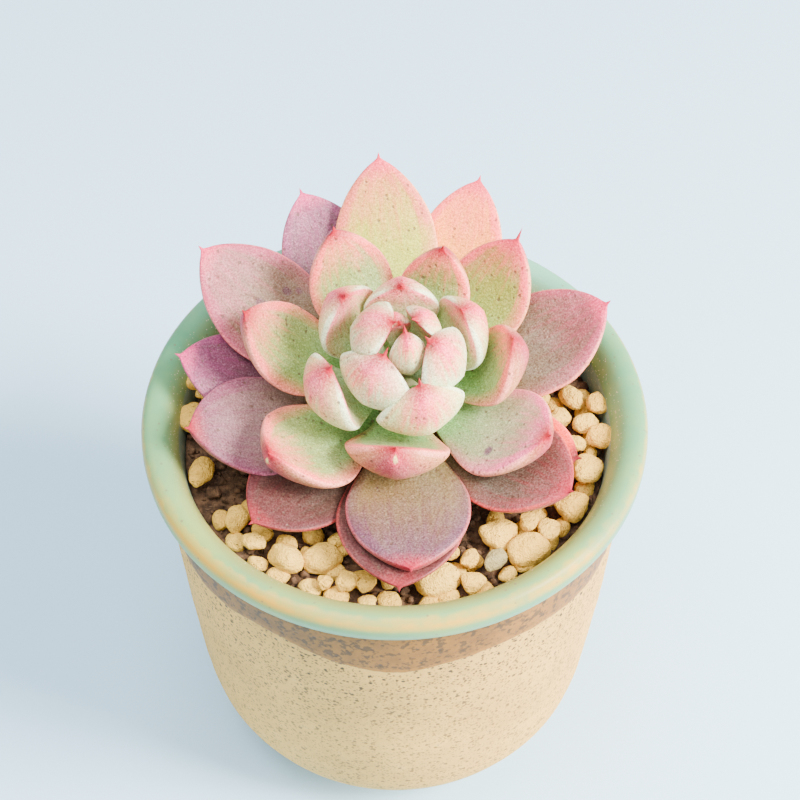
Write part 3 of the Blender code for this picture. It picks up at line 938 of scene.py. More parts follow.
LILAC = LeafSkin(
    heart=(0.11, 0.045, 0.05), blade=(0.11, 0.035, 0.058), blush=(0.24, 0.045, 0.12),
    tip=(0.60, 0.03, 0.16), back=(0.14, 0.045, 0.04), back_blade=(0.18, 0.04, 0.05),
    back_blush=(0.26, 0.03, 0.06), edge=(0.36, 0.08, 0.12), blush_from=0.6, bloom=0.1, margin=0.55)
PEACH = replace(
    LIME, heart=(0.74, 0.30, 0.04), blade=(0.86, 0.28, 0.04), blush=(0.94, 0.10, 0.10),
    blush_from=0.6)
WINE = LeafSkin(
    heart=(0.05, 0.026, 0.016), blade=(0.05, 0.02, 0.014), blush=(0.085, 0.015, 0.018),
    tip=(0.22, 0.012, 0.02), back=(0.08, 0.02, 0.014), back_blade=(0.10, 0.02, 0.014),
    back_blush=(0.12, 0.013, 0.013), edge=(0.34, 0.035, 0.035), blush_from=0.5, bloom=0.04,
    margin=0.6)
CORAL = replace(
    WINE, heart=(0.60, 0.07, 0.03), blade=(0.86, 0.07, 0.025), blush=(0.95, 0.06, 0.04),
    back=(0.50, 0.04, 0.03), back_blade=(0.62, 0.04, 0.03), back_blush=(0.70, 0.03, 0.03),
    edge=(0.96, 0.22, 0.14))


# Plant

@dataclass(frozen=True)
class Leaf:
    """One leaf: its turn in degrees, and its sizes in millimetres in the plant's frame.

    Attributes:
        turn: Direction about the stem.
        reach: The tip's distance from the stem's line.
        lift: The tip's height along the stem.
        foot: Where it leaves the stem.
        width: Its greatest width.
        bow: Its sag, in shares of its length.
        skin: Its finish.
        spike: Length of the pointed end.
    """

    turn: float
    reach: float
    lift: float
    foot: float
    width: float
    bow: float
    skin: LeafSkin
    spike: float = 1.2


@dataclass(frozen=True)
class Whorl:
    """Leaves of one age: the sizes that they share, in millimetres, and the leaves themselves."""

    name: str
    neck: float
    neck_thick: float
    thick: float
    slot: str
    leaves: Tuple[Leaf, ...]


WHORLS: Tuple[Whorl, ...] = (
    Whorl("bud_leaf", 2.0, 1.2, 3.4, "bud_skin", (
        Leaf(285, 1.0, 30.6, 18.5, 6.5, 0.20, FROSTED),
        Leaf(110, 1.6, 28.6, 18.5, 5.0, 0.20, FROSTED),
        Leaf(40, 2.4, 30.2, 18.0, 9.0, 0.26, FROSTED))),
    Whorl("inner_leaf", 2.6, 1.6, 5.4, "inner_skin", (
        Leaf(233, 5.2, 28.2, 15.0, 15.5, 0.32, FROSTED, 1.8),
        Leaf(335, 4.6, 29.4, 15.5, 13.5, 0.30, FROSTED),
        Leaf(165, 1.8, 31.0, 16.0, 12.5, 0.26, FROSTED),
        Leaf(92, 9.4, 27.2, 15.5, 13.0, 0.27, FROSTED))),
    Whorl("upper_leaf", 3.2, 2.0, 5.8, "upper_skin", (
        Leaf(288, 9.0, 26.2, 12.5, 15.5, 0.30, MINT, 1.6),
        Leaf(28, 11.2, 26.5, 13.0, 14.0, 0.29, MINT),
        Leaf(142, 12.5, 27.0, 13.5, 14.0, 0.29, MINT),
        Leaf(206, 13.4, 26.8, 12.0, 15.5, 0.32, MINT))),
    Whorl("middle_leaf", 4.0, 2.2, 5.8, "middle_skin", (
        Leaf(266, 18.0, 21.5, 9.5, 18.0, 0.26, replace(PEACH_EDGED, marks=DRY_DOTS), 0.7),
        Leaf(3, 18.5, 24.0, 10.0, 14.5, 0.27, PEACH_EDGED),
        Leaf(70, 20.0, 24.0, 10.5, 13.0, 0.23, PEACH_EDGED),
        Leaf(118, 25.5, 24.0, 10.0, 15.5, 0.23, PEACH_EDGED),
        Leaf(165, 28.0, 22.0, 9.0, 16.0, 0.20, PEACH_EDGED),
        Leaf(219, 28.5, 19.5, 8.0, 18.5, 0.19, replace(PEACH_EDGED, marks=DRY_DOTS), 0.7),
        Leaf(330, 28.0, 18.0, 8.0, 18.5, 0.18, replace(
            PEACH_EDGED, blade=(0.30, 0.25, 0.14), blush=(0.74, 0.08, 0.22),
            marks=(Mark(0.62, -0.5, 0.042, (0.10, 0.015, 0.06)),))))),
    Whorl("outer_leaf", 4.6, 2.2, 5.6, "outer_skin", (
        Leaf(272, 36.0, 13.5, 5.0, 21.5, 0.07, DUSK),
        Leaf(322, 35.5, 13.0, 5.0, 19.5, 0.10, PLUM),
        Leaf(20, 38.0, 15.0, 5.0, 19.5, 0.12, MAUVE),
        Leaf(49, 30.5, 20.0, 6.5, 16.5, 0.20, VERDANT, 3.2),
        Leaf(96, 42.5, 17.0, 5.5, 19.0, 0.15, LIME),
        Leaf(147, 42.5, 16.5, 5.0, 20.5, 0.12, replace(ROSE, marks=(
            Mark(0.66, 0.05, 0.04, (0.10, 0.012, 0.03)),
            Mark(0.60, -0.45, 0.032, (0.10, 0.012, 0.03)),
            Mark(0.56, -0.6, 0.024, (0.14, 0.02, 0.04))))),
        Leaf(196, 38.0, 13.5, 5.0, 20.0, 0.12, HEATHER))),
    Whorl("lowest_leaf", 4.6, 2.2, 4.4, "lowest_skin", (
        Leaf(269, 38.5, 11.5, 2.2, 22.0, 0.03, WINE),
        Leaf(335, 33.0, 9.0, 2.2, 15.0, 0.08, CORAL),
        Leaf(71, 43.0, 12.0, 2.0, 17.0, 0.10, PEACH),
        Leaf(116, 42.5, 11.5, 2.0, 18.5, 0.10, LILAC),
        Leaf(173, 39.5, 11.0, 2.0, 17.5, 0.10, LILAC),
        Leaf(226, 36.5, 10.0, 2.2, 18.5, 0.05, WINE))),
)


@dataclass
class LeafRule:
    """The rule that every leaf follows, as a Geometry Nodes tree.

    Attributes:
        widest_at: Where along the blade it is widest.
        back: Share of the thickness below the spine.
        keel: How far the lower face runs to a keel.
        cup: Rise of the margins, in shares of the half width.
        blade_share: Share of the rings that make the blade; the rest make the spike.
        growth: How fast it widens from the stem.
        width_powers: How its width closes towards the tip.
        thickness_powers: How its thickness closes.
        rings: Rings of points along it.
        sides: Points of each ring.
        weld: Points nearer than this become one.
    """

    widest_at: float = 0.60
    back: float = 0.72
    keel: float = 0.30
    cup: float = 0.10
    blade_share: float = 0.9
    growth: float = 0.8
    width_powers: Tuple[float, float] = (2.2, 0.76)
    thickness_powers: Tuple[float, float] = (3.0, 0.62)
    rings: int = 44
    sides: int = 41
    weld: float = 1e-6

    def build(self) -> Recipe:
        """Build the tree.

        Returns:
            The tree, with the leaf's sizes as inputs.
        """
        rule = Recipe("leaf rule", {
            Kind.WHOLE: ["Rings", "Sides"],
            Kind.VECTOR: ["Root", "Bend", "Tip", "Turn", "Lean", "Foot"],
            Kind.NUMBER: ["Neck Width", "Width", "Neck Thickness", "Thickness", "Spike",
                          "Spike Radius", "Unevenness", "Seed"],
            Kind.COLLECTION: ["Inner Leaves"], Kind.CHOICE: ["Gives Way"]})
        grid = rule.step("MeshGrid", {
            "Size X": 1.0, "Size Y": 1.0, "Vertices X": rule.entry["Rings"],
            "Vertices Y": rule.entry["Sides"]})
        u, v, _ = rule.split(rule.step("InputPosition"))
        even, angle = u + 0.5, (v + 0.5) * (2 * math.pi)
        blade = (even / self.blade_share).clamp()
        spike = ((even - self.blade_share) / (1 - self.blade_share)).clamp()
        s = 0.5 * blade + 0.25 * (1 - (blade * math.pi).cos())
        half, thick = self.girth(rule, s, spike, even)
        across, up = angle.cos(), angle.sin()
        top = abs(up) * (1 - self.back)
        bottom = (abs(up) * (1 - self.keel) + (1 - abs(across)) * self.keel) * -self.back
        above = up.over(0.0)
        rise = (above * top + (1 - above) * bottom) * thick
        rise = rise + self.cup * half * across * across * (1 - spike)
        seed = rule.number("Seed")
        spot = rule.join(s * 5.0 + seed, across * 1.3, above * 3.0)
        lumps = rule.noise(spot, 1.0, 2.0) - 0.5
        fullness = thick / rule.number("Thickness")
        inside = abs(up).smooth(0.0, 0.6) * s.smooth(0.1, 0.5) * fullness
        rise = rise + lumps * rule.number("Unevenness") * inside
        wave = rule.noise(rule.join(s * 4.0 + seed, across.over(0.0) * 7.0, 0.0), 1.0, 1.0) - 0.5
        half = half * (1 + wave * 0.09)
        out, height, tilt = self.spine(rule, s, spike)
        place = rule.join(out - tilt[1] * rise, half * across, height + tilt[0] * rise)
        own = rule.join(s + spike * 0.2, across, up)
        leaf = rule.store(grid, "leaf_place", own)
        leaf = rule.step("SetPosition", {"Geometry": leaf, "Position": place})
        leaf = rule.step("MergeByDistance", {"Geometry": leaf, "Distance": self.weld})
        leaf = rule.step("FlipFaces", {"Mesh": leaf})
        leaf = rule.step("Transform", {"Geometry": leaf, "Rotation": rule.entry["Turn"]})
        leaf = rule.step("Transform", {"Geometry": leaf, "Rotation": rule.entry["Lean"],
                                       "Translation": rule.entry["Foot"]})
        rule.finish(self.give_way(rule, leaf))
        return rule

    def girth(self, rule: Recipe, s: Field, spike: Field, even: Field) -> Tuple[Field, Field]:
        """Half the width and the thickness along the leaf.

        Args:
            rule: The tree.
            s: Share of the blade's length.
            spike: Share of the spike's length.
            even: Share of the rings.

        Returns:
            The half width and the thickness.
        """
        neck, width = rule.number("Neck Width"), rule.number("Width")
        thin, thick = rule.number("Neck Thickness"), rule.number("Thickness")
        grown = s.smooth(0.0, self.widest_at)
        past = ((s - self.widest_at) / (1 - self.widest_at)).clamp()
        first, second = self.width_powers
        closing = (1 - past ** first).at_least(0.0) ** second
        half = (neck + (width - neck) * grown ** self.growth) * 0.5 * closing
        first, second = self.thickness_powers
        closing = (1 - past ** first).at_least(0.0) ** second
        depth = (thin + (thick - thin) * grown) * closing
        start = (even * 60.0).clamp()
        point = rule.number("Spike Radius") * (1 - spike) * start
        return (half * start).at_least(point), (depth * start).at_least(point * 2.0)

    @staticmethod
    def spine(rule: Recipe, s: Field, spike: Field) -> Tuple[Field, Field, Tuple[Field, Field]]:
        """The middle line of the leaf.

        Args:
            rule: The tree.
            s: Share of the blade's length.
            spike: Share of the spike's length.

        Returns:
            The distance out, the height, and the direction as (out, up).
        """
        root, bend, tip = (rule.split(rule.entry[name]) for name in ("Root", "Bend", "Tip"))
        rest = 1 - s
        out, height = (rest * rest * root[part] + 2.0 * s * rest * bend[part] + s * s * tip[part]
                       for part in (0, 2))
        run = rest * (bend[0] - root[0]) + s * (tip[0] - bend[0])
        climb = rest * (bend[2] - root[2]) + s * (tip[2] - bend[2])
        length = (run * run + climb * climb) ** 0.5
        run, climb = run / length, climb / length
        reach = spike * rule.number("Spike")
        return out + run * reach, height + climb * reach, (run, climb)

    @staticmethod
    def give_way(rule: Recipe, leaf: NodeSocket) -> NodeSocket:
        """Cut a leaf where the inner leaves already are, and keep its place attribute.

        Args:
            rule: The tree.
            leaf: The whole leaf.

        Returns:
            The leaf with room for the others.
        """
        others = rule.step("CollectionInfo", {
            "Collection": rule.entry["Inner Leaves"], "Separate Children": True})
        cut = rule.step("MeshBoolean", {"Mesh 1": leaf, "Mesh 2": others},
                        operation='DIFFERENCE', solver='MANIFOLD')
        nearest = rule.step("SampleNearestSurface",
                            {"Mesh": leaf, "Value": rule.named("leaf_place")},
                            data_type='FLOAT_VECTOR')
        chosen = rule.step("Switch", {
            "Switch": rule.entry["Gives Way"], "False": leaf,
            "True": rule.store(cut, "leaf_place", nearest)}, input_type='GEOMETRY')
        return rule.step("SetShadeSmooth", {0: chosen})


@dataclass
class Rosette:
    """The stem and its leaves.

    Attributes:
        foot: Where the plant's frame stands.
        lean: Its lean towards the viewer.
        stem_radius: The stem's radius below the leaves.
        stem_tip: Its radius at the top.
        taper_from: Height where it starts to taper.
        top: The stem's height.
        depth: How deep it goes into the soil.
        rings: Rings of the stem's skin.
        sides: Points of each ring.
        skin_drop: How far the skin lies inside the radius.
        scar_depth: Depth of the old leaves' scars.
        scar_gap: Distance between them.
        root_depth: How deep a leaf goes into the stem.
        spike_radius: Radius of a leaf's pointed end.
        unevenness: Depth of a leaf's lumps.
        seed_step: Step of the leaves' own numbers.
    """

    foot: Vector = field(default_factory=lambda: Vector((1.5 * MM, 3.6 * MM, RIM_HEIGHT - 3 * MM)))
    lean: float = math.radians(12.0)
    stem_radius: float = 4.6 * MM
    stem_tip: float = 1.3 * MM
    taper_from: float = 5.0 * MM
    top: float = 19.0 * MM
    depth: float = 15.0 * MM
    rings: int = 60
    sides: int = 40
    skin_drop: float = 0.15 * MM
    scar_depth: float = 0.12 * MM
    scar_gap: float = 1.4 * MM
    root_depth: float = 0.5 * MM
    spike_radius: float = 0.36 * MM
    unevenness: float = 0.5 * MM
    seed_step: float = 17.3

    def own_frame(self) -> Matrix:
        """The plant's own frame."""
        return Matrix.Translation(self.foot) @ Matrix.Rotation(self.lean, 4, 'X')

    def radius_at(self, height: float) -> float:
        """The stem's radius at a height along it.

        Args:
            height: Metres along the stem.

        Returns:
            The radius.
        """
        share = (height - self.taper_from) / (self.top - self.taper_from)
        share = min(max(share, 0.0), 1.0)
        return self.stem_radius + (self.stem_tip - self.stem_radius) * share

    def build_stem(self) -> None:
        """Build the stem, ringed with the scars of old leaves."""
        shape = bmesh.new()
        rows: List[List[bmesh.types.BMVert]] = []
        for ring in range(self.rings):
            height = -self.depth + (self.top + self.depth) * ring / (self.rings - 1)
            row = []
            for side in range(self.sides):
                turn = 2 * math.pi * side / self.sides
                scar = self.scar_depth * math.sin(height / self.scar_gap * math.pi + 2 * turn)
                radius = self.radius_at(height) - self.skin_drop + scar
                row.append(shape.verts.new(around(turn, radius, height)))
            rows.append(row)
        skin_rows(shape, rows)
        shape.faces.new(tuple(reversed(rows[0])))
        shape.faces.new(rows[-1])
        shape.transform(self.own_frame())
        mesh = settled(shape, "stem body", Bark().make("stem bark"))
        add_piece("scarred_stem", mesh, ["stem"])

    def leaf_values(self, leaf: Leaf, whorl: Whorl, seed: float) -> Dict[str, Any]:
        """The rule's inputs for one leaf.

        Args:
            leaf: The leaf.
            whorl: Its whorl.
            seed: A number of its own.

        Returns:
            Values by the inputs' names.
        """
        root = Vector((self.radius_at(leaf.foot * MM) - self.root_depth, leaf.foot * MM))
        tip = Vector((leaf.reach * MM, leaf.lift * MM))
        chord = tip - root
        bend = (root + tip) / 2 - Vector((-chord.y, chord.x)) * 2 * leaf.bow
        return {
            "Root": (root.x, 0.0, root.y), "Bend": (bend.x, 0.0, bend.y),
            "Tip": (tip.x, 0.0, tip.y), "Neck Width": whorl.neck * MM,
            "Width": leaf.width * MM, "Neck Thickness": whorl.neck_thick * MM,
            "Thickness": whorl.thick * MM, "Spike": leaf.spike * MM,
            "Spike Radius": self.spike_radius, "Unevenness": self.unevenness, "Seed": seed,
            "Turn": (0.0, 0.0, math.radians(leaf.turn)), "Lean": (self.lean, 0.0, 0.0),
            "Foot": tuple(self.foot)}

    def build_leaves(self) -> List[Object]:
        """Build the leaves from the bud outwards.

        Returns:
            The leaves' pieces.
        """
        measure = LeafRule()
        rule = measure.build()
        room = bpy.data.collections.new("inner leaves")
        bpy.context.scene.collection.children.link(room)
        pieces, seed = [], 0.0
        for whorl in WHORLS:
            for number, leaf in enumerate(whorl.leaves, 1):
                name = f"{whorl.name}_{number}"
                seed += self.seed_step
                values = self.leaf_values(leaf, whorl, seed)
                values.update({"Rings": measure.rings, "Sides": measure.sides,
                               "Inner Leaves": room, "Finish": leaf.skin.make(name + " flesh")})
                whole = rule.bake(name + " whole", None, {**values, "Gives Way": False})
                cut = rule.bake("fleshy_" + name, None,
                                {**values, "Gives Way": len(room.objects) > 0})
                keep_largest(cut)
                pieces.append(add_piece("fleshy_" + name, cut, [name]))
                room.objects.link(bpy.data.objects.new(name + " room", whole))
        for item in list(room.objects):
            bpy.data.objects.remove(item, do_unlink=True)
        bpy.data.collections.remove(room)
        return pieces


def keep_largest(mesh: Mesh) -> None:
    """Drop all but the largest body of a mesh.

    Args:
        mesh: The mesh to clean.
    """
    shape = bmesh.new()
    shape.from_mesh(mesh)
    left = set(shape.verts)
    bodies = []
    while left:
        body, front = set(), [left.pop()]
        while front:
            vert = front.pop()
            body.add(vert)
            near = {edge.other_vert(vert) for edge in vert.link_edges} & left
            left -= near
            front.extend(near)
        bodies.append(body)
    bodies.sort(key=len)
    for body in bodies[:-1]:
        bmesh.ops.delete(shape, geom=list(body), context='VERTS')
    shape.to_mesh(mesh)
    shape.free()


# Pot

@dataclass
class Pot:
    """The turned pot.

    Attributes:
        steps: Steps round.
        body_steps: Steps down the body, and as many round its base.
        floor_steps: Steps of the curve inside its base.
        inner_points: How many of the outline's last points face the soil.
        rim_outline: Outer side from the crest down to the neck, as radius and height above the
            rim in millimetres.
        mouth_outline: Inner side up to the crest.
        sway_depth: The wall's slow unevenness.
        ring_depth: Depth of the throwing rings.
        ring_turns: How close they are, in radians per metre.
        sharp_from: Angle from which an edge is sharp.
    """

    steps: int = 144
    body_steps: int = 24
    floor_steps: int = 12
    inner_points: int = 20
    rim_outline: Tuple[Tuple[float, float], ...] = (
        (42.2, 1.45), (43.2, 1.5), (44.1, 1.2), (44.7, 0.6), (45.0, -0.2), (45.0, -1.2),
        (44.85, -2.4), (44.5, -3.4), (44.1, -3.9), (43.4, -4.25), (42.5, -4.6), (42.05, -4.9))
    mouth_outline: Tuple[Tuple[float, float], ...] = (
        (37.5, -16.0), (38.0, -9.0), (38.2, -5.5), (38.5, -3.6), (39.0, -1.9), (39.7, -0.5),
        (40.5, 0.6), (41.3, 1.2))
    neck_radius: float = 41.9 * MM
    neck_drop: float = 5.2 * MM
    body_taper: float = 2.7 * MM
    taper_power: float = 1.7
    base_rounding: float = 20.7 * MM
    lower_body_radius: float = 39.2 * MM
    shoulder_height: float = 19.3 * MM
    foot_recess: float = 1.4 * MM
    foot_ring_width: float = 5.0 * MM
    foot_ring_slope: float = 0.8 * MM
    floor_thickness: float = 5.0 * MM
    drain_radius: float = 4.5 * MM
    wall: float = 4.4 * MM
    sway_depth: float = 0.18 * MM
    ring_depth: float = 0.05 * MM
    ring_turns: float = 1400.0
    sharp_from: float = math.radians(50)

    def outline(self) -> List[Tuple[float, float]]:
        """The outline, from the crest down the outer side, over the foot and up the inner side.

        Returns:
            Points of radius and height in metres.
        """
        foot_radius = self.lower_body_radius - self.base_rounding
        inner_rounding = self.base_rounding - self.wall
        points = [(r * MM, RIM_HEIGHT + h * MM) for r, h in self.rim_outline]
        neck_height = RIM_HEIGHT - self.neck_drop
        for step in range(self.body_steps):
            share = step / self.body_steps
            points.append((self.neck_radius - self.body_taper * share ** self.taper_power,
                           neck_height + (self.shoulder_height - neck_height) * share))
        points += self.arc((foot_radius, self.base_rounding), self.base_rounding, -4, -88,
                           self.body_steps)
        points += [
            (foot_radius, 0.0),
            (foot_radius - self.foot_ring_width, 0.0),
            (foot_radius - self.foot_ring_width - self.foot_ring_slope, self.foot_recess),
            (self.drain_radius, self.foot_recess),
            (self.drain_radius, self.floor_thickness),
            (foot_radius, self.floor_thickness)]
        points += self.arc((foot_radius, self.floor_thickness + inner_rounding), inner_rounding,
                           -80, 0, self.floor_steps)
        points += [(r * MM, RIM_HEIGHT + h * MM) for r, h in self.mouth_outline]
        return points

    @staticmethod
    def arc(centre: Tuple[float, float], radius: float, start: float, end: float,
            count: int) -> List[Tuple[float, float]]:
        """Points along an arc, with its angles in degrees.

        Args:
            centre: Radius and height of the centre.
            radius: The arc's radius.
            start: First angle.
            end: Last angle.
            count: Number of steps.

        Returns:
            The points.
        """
        turns = [math.radians(start + (end - start) * step / count) for step in range(count + 1)]
        return [(centre[0] + radius * math.cos(turn), centre[1] + radius * math.sin(turn))
                for turn in turns]

    def sway(self, turn: float, height: float) -> float:
        """How far the potter's hand strays at a place, nowhere on the foot.

        Args:
            turn: Direction about the axis.
            height: Height over the foot.

        Returns:
            The stray outwards in metres.
        """
        if height <= 3 * MM:
            return 0.0
        slow = noise.noise(Vector((math.cos(turn) * 1.6, math.sin(turn) * 1.6, height * 90)))
        rings = math.sin(height * self.ring_turns + math.sin(turn) * 1.2)
        return self.sway_depth * slow + self.ring_depth * rings

    def build(self) -> None:
        """Turn the pot on its axis, with a potter's faint unevenness, and glaze it."""
        points = self.outline()
        shape = bmesh.new()
        rows = []
        for step in range(self.steps):
            turn = 2 * math.pi * step / self.steps
            rows.append([shape.verts.new(around(turn, out + self.sway(turn, height), height))
                         for out, height in points])
        skin_rows(shape, rows + rows[:1])
        bmesh.ops.recalc_face_normals(shape, faces=shape.faces)
        mesh = settled(shape, "pot body", Stoneware().make("speckled stoneware"))
        mesh.set_sharp_from_angle(angle=self.sharp_from)
        add_piece("glazed_pot", mesh, ["pot"])


# Soil and grit

@dataclass(frozen=True)
class Stone:
    """A stone by its place: degrees about the pot's axis, then millimetres.

    Attributes:
        turn: Direction.
        out: Distance from the axis.
        length: Its long side.
        yaw: Direction of the long side in degrees.
        rise: Its height over the general top of the grit.
    """

    turn: float
    out: float
    length: float
    yaw: float
    rise: float


@dataclass(frozen=True)
class Patch:
    """A sector where soil shows: two angles in degrees and its reach out in millimetres."""

    start: float
    end: float
    near: float
    far: float

    def holds(self, turn: float, out: float) -> bool:
        """Whether a place is in the patch."""
        return self.start <= turn % 360 <= self.end and self.near * MM <= out <= self.far * MM


@dataclass
class Lump:
    """A stone or crumb with its final place.

    Attributes:
        place: Its middle.
        size: Its three sides in metres.
        turn: Its rotation.
        shade: A number of its own, from dark to pale.
    """

    place: Vector
    size: Vector
    turn: Euler
    shade: float


@dataclass
class Heap:
    """The rule that makes stones and crumbs from their places, as a Geometry Nodes tree.

    Attributes:
        kinds: How many different stones it picks from.
        seed: The seed of that choice.
        wear: How unlike a ball a stone is.
        hull: Radius of the ball that a stone is made from.
    """

    kinds: int = 6
    seed: int = 11
    wear: float = 0.42
    hull: float = 0.64
    tree: Recipe = field(init=False)

    def __post_init__(self) -> None:
        """Build the tree."""
        heap = Recipe("heap of stones", {
            Kind.WHOLE: ["Corners", "Fineness"],
            Kind.NUMBER: ["Wear", "Unevenness", "Lump Scale"]})
        pool = heap.node("GeometryNodeGeometryToInstance")
        for kind in range(self.kinds):
            heap.feed(pool.inputs[0], self.stone(heap, kind))
        choice = heap.field("FunctionNodeRandomValue", 2, {"data_type": 'INT'},
                            {4: 0, 5: self.kinds - 1, "Seed": self.seed})
        turn = heap.field("FunctionNodeEulerToRotation", 0, None, {0: heap.named("turn")})
        laid = heap.step("InstanceOnPoints", {
            "Points": heap.entry["Shape"], "Instance": pool.outputs[0], "Pick Instance": True,
            "Instance Index": choice, "Rotation": turn, "Scale": heap.named("size")})
        real = heap.step("RealizeInstances", {0: laid})
        spot, wide = heap.step("InputPosition"), heap.number("Lump Scale")
        lumps = heap.noise(spot, wide, 1.0) - 0.5
        fine = heap.noise(spot, wide * 3.1, 2.0) - 0.5
        amount = (lumps + fine * 0.45) * heap.number("Unevenness")
        push = heap.vector('SCALE', heap.step("InputNormal"), amount)
        uneven = heap.step("SetPosition", {"Geometry": real, "Offset": push})
        heap.finish(heap.step("SetShadeSmooth", {0: uneven}))
        self.tree = heap

    def stone(self, heap: Recipe, kind: int) -> NodeSocket:
        """One worn stone, a hull of scattered corners with its edges rounded.

        Args:
            heap: The tree.
            kind: The seed of the stone's own corners.

        Returns:
            A stone one unit long.
        """
        ball = heap.step("MeshIcoSphere",
                         {"Radius": self.hull, "Subdivisions": heap.entry["Corners"]})
        pull = heap.field("FunctionNodeRandomValue", 1, {"data_type": 'FLOAT'},
                          {2: -1.0, 3: 0.0, "Seed": kind + 1})
        pulled = heap.vector('SCALE', heap.step("InputPosition"), pull * heap.number("Wear"))
        loose = heap.step("SetPosition", {"Geometry": ball, "Offset": pulled})
        hull = heap.step("ConvexHull", {0: loose})
        facets = heap.step("SubdivideMesh", {"Mesh": hull, "Level": 1})
        return heap.step("SubdivisionSurface",
                         {"Mesh": facets, "Level": heap.entry["Fineness"]})

    def make(self, name: str, lumps: Sequence[Lump], finish: Material, corners: int,
             fineness: int, unevenness: float, scale: float) -> Mesh:
        """Make a heap.

        Args:
            name: The mesh's name.
            lumps: The stones.
            finish: Their material.
            corners: 1 for a dozen corners and 2 for a few dozen.
            fineness: Subdivisions of each stone.
            unevenness: Depth of their lumps in metres.
            scale: Lumps per metre.

        Returns:
            The mesh.
        """
        points = bpy.data.meshes.new(name + " places")
        points.from_pydata([tuple(lump.place) for lump in lumps], [], [])
        for entry, kind, values in (
                ("size", 'FLOAT_VECTOR', [tuple(lump.size) for lump in lumps]),
                ("turn", 'FLOAT_VECTOR', [tuple(lump.turn) for lump in lumps]),
                ("shade", 'FLOAT', [lump.shade for lump in lumps])):
            attribute = points.attributes.new(entry, kind, 'POINT')
            for item, value in zip(attribute.data, values):
                setattr(item, "value" if kind == 'FLOAT' else "vector", value)
        return self.tree.bake(name, points, {
            "Corners": corners, "Fineness": fineness, "Wear": self.wear, "Unevenness": unevenness,
            "Lump Scale": scale, "Finish": finish})


def merged(name: str, meshes: Sequence[Mesh]) -> Mesh:
    """Join meshes of one finish.

    Args:
        name: The new mesh's name.
        meshes: The meshes.

    Returns:
        One mesh with the first one's material.
    """
    shape = bmesh.new()
    for mesh in meshes:
        shape.from_mesh(mesh)
    made = bpy.data.meshes.new(name)
    shape.to_mesh(made)
    shape.free()
    made.materials.append(meshes[0].materials[0])
    return made


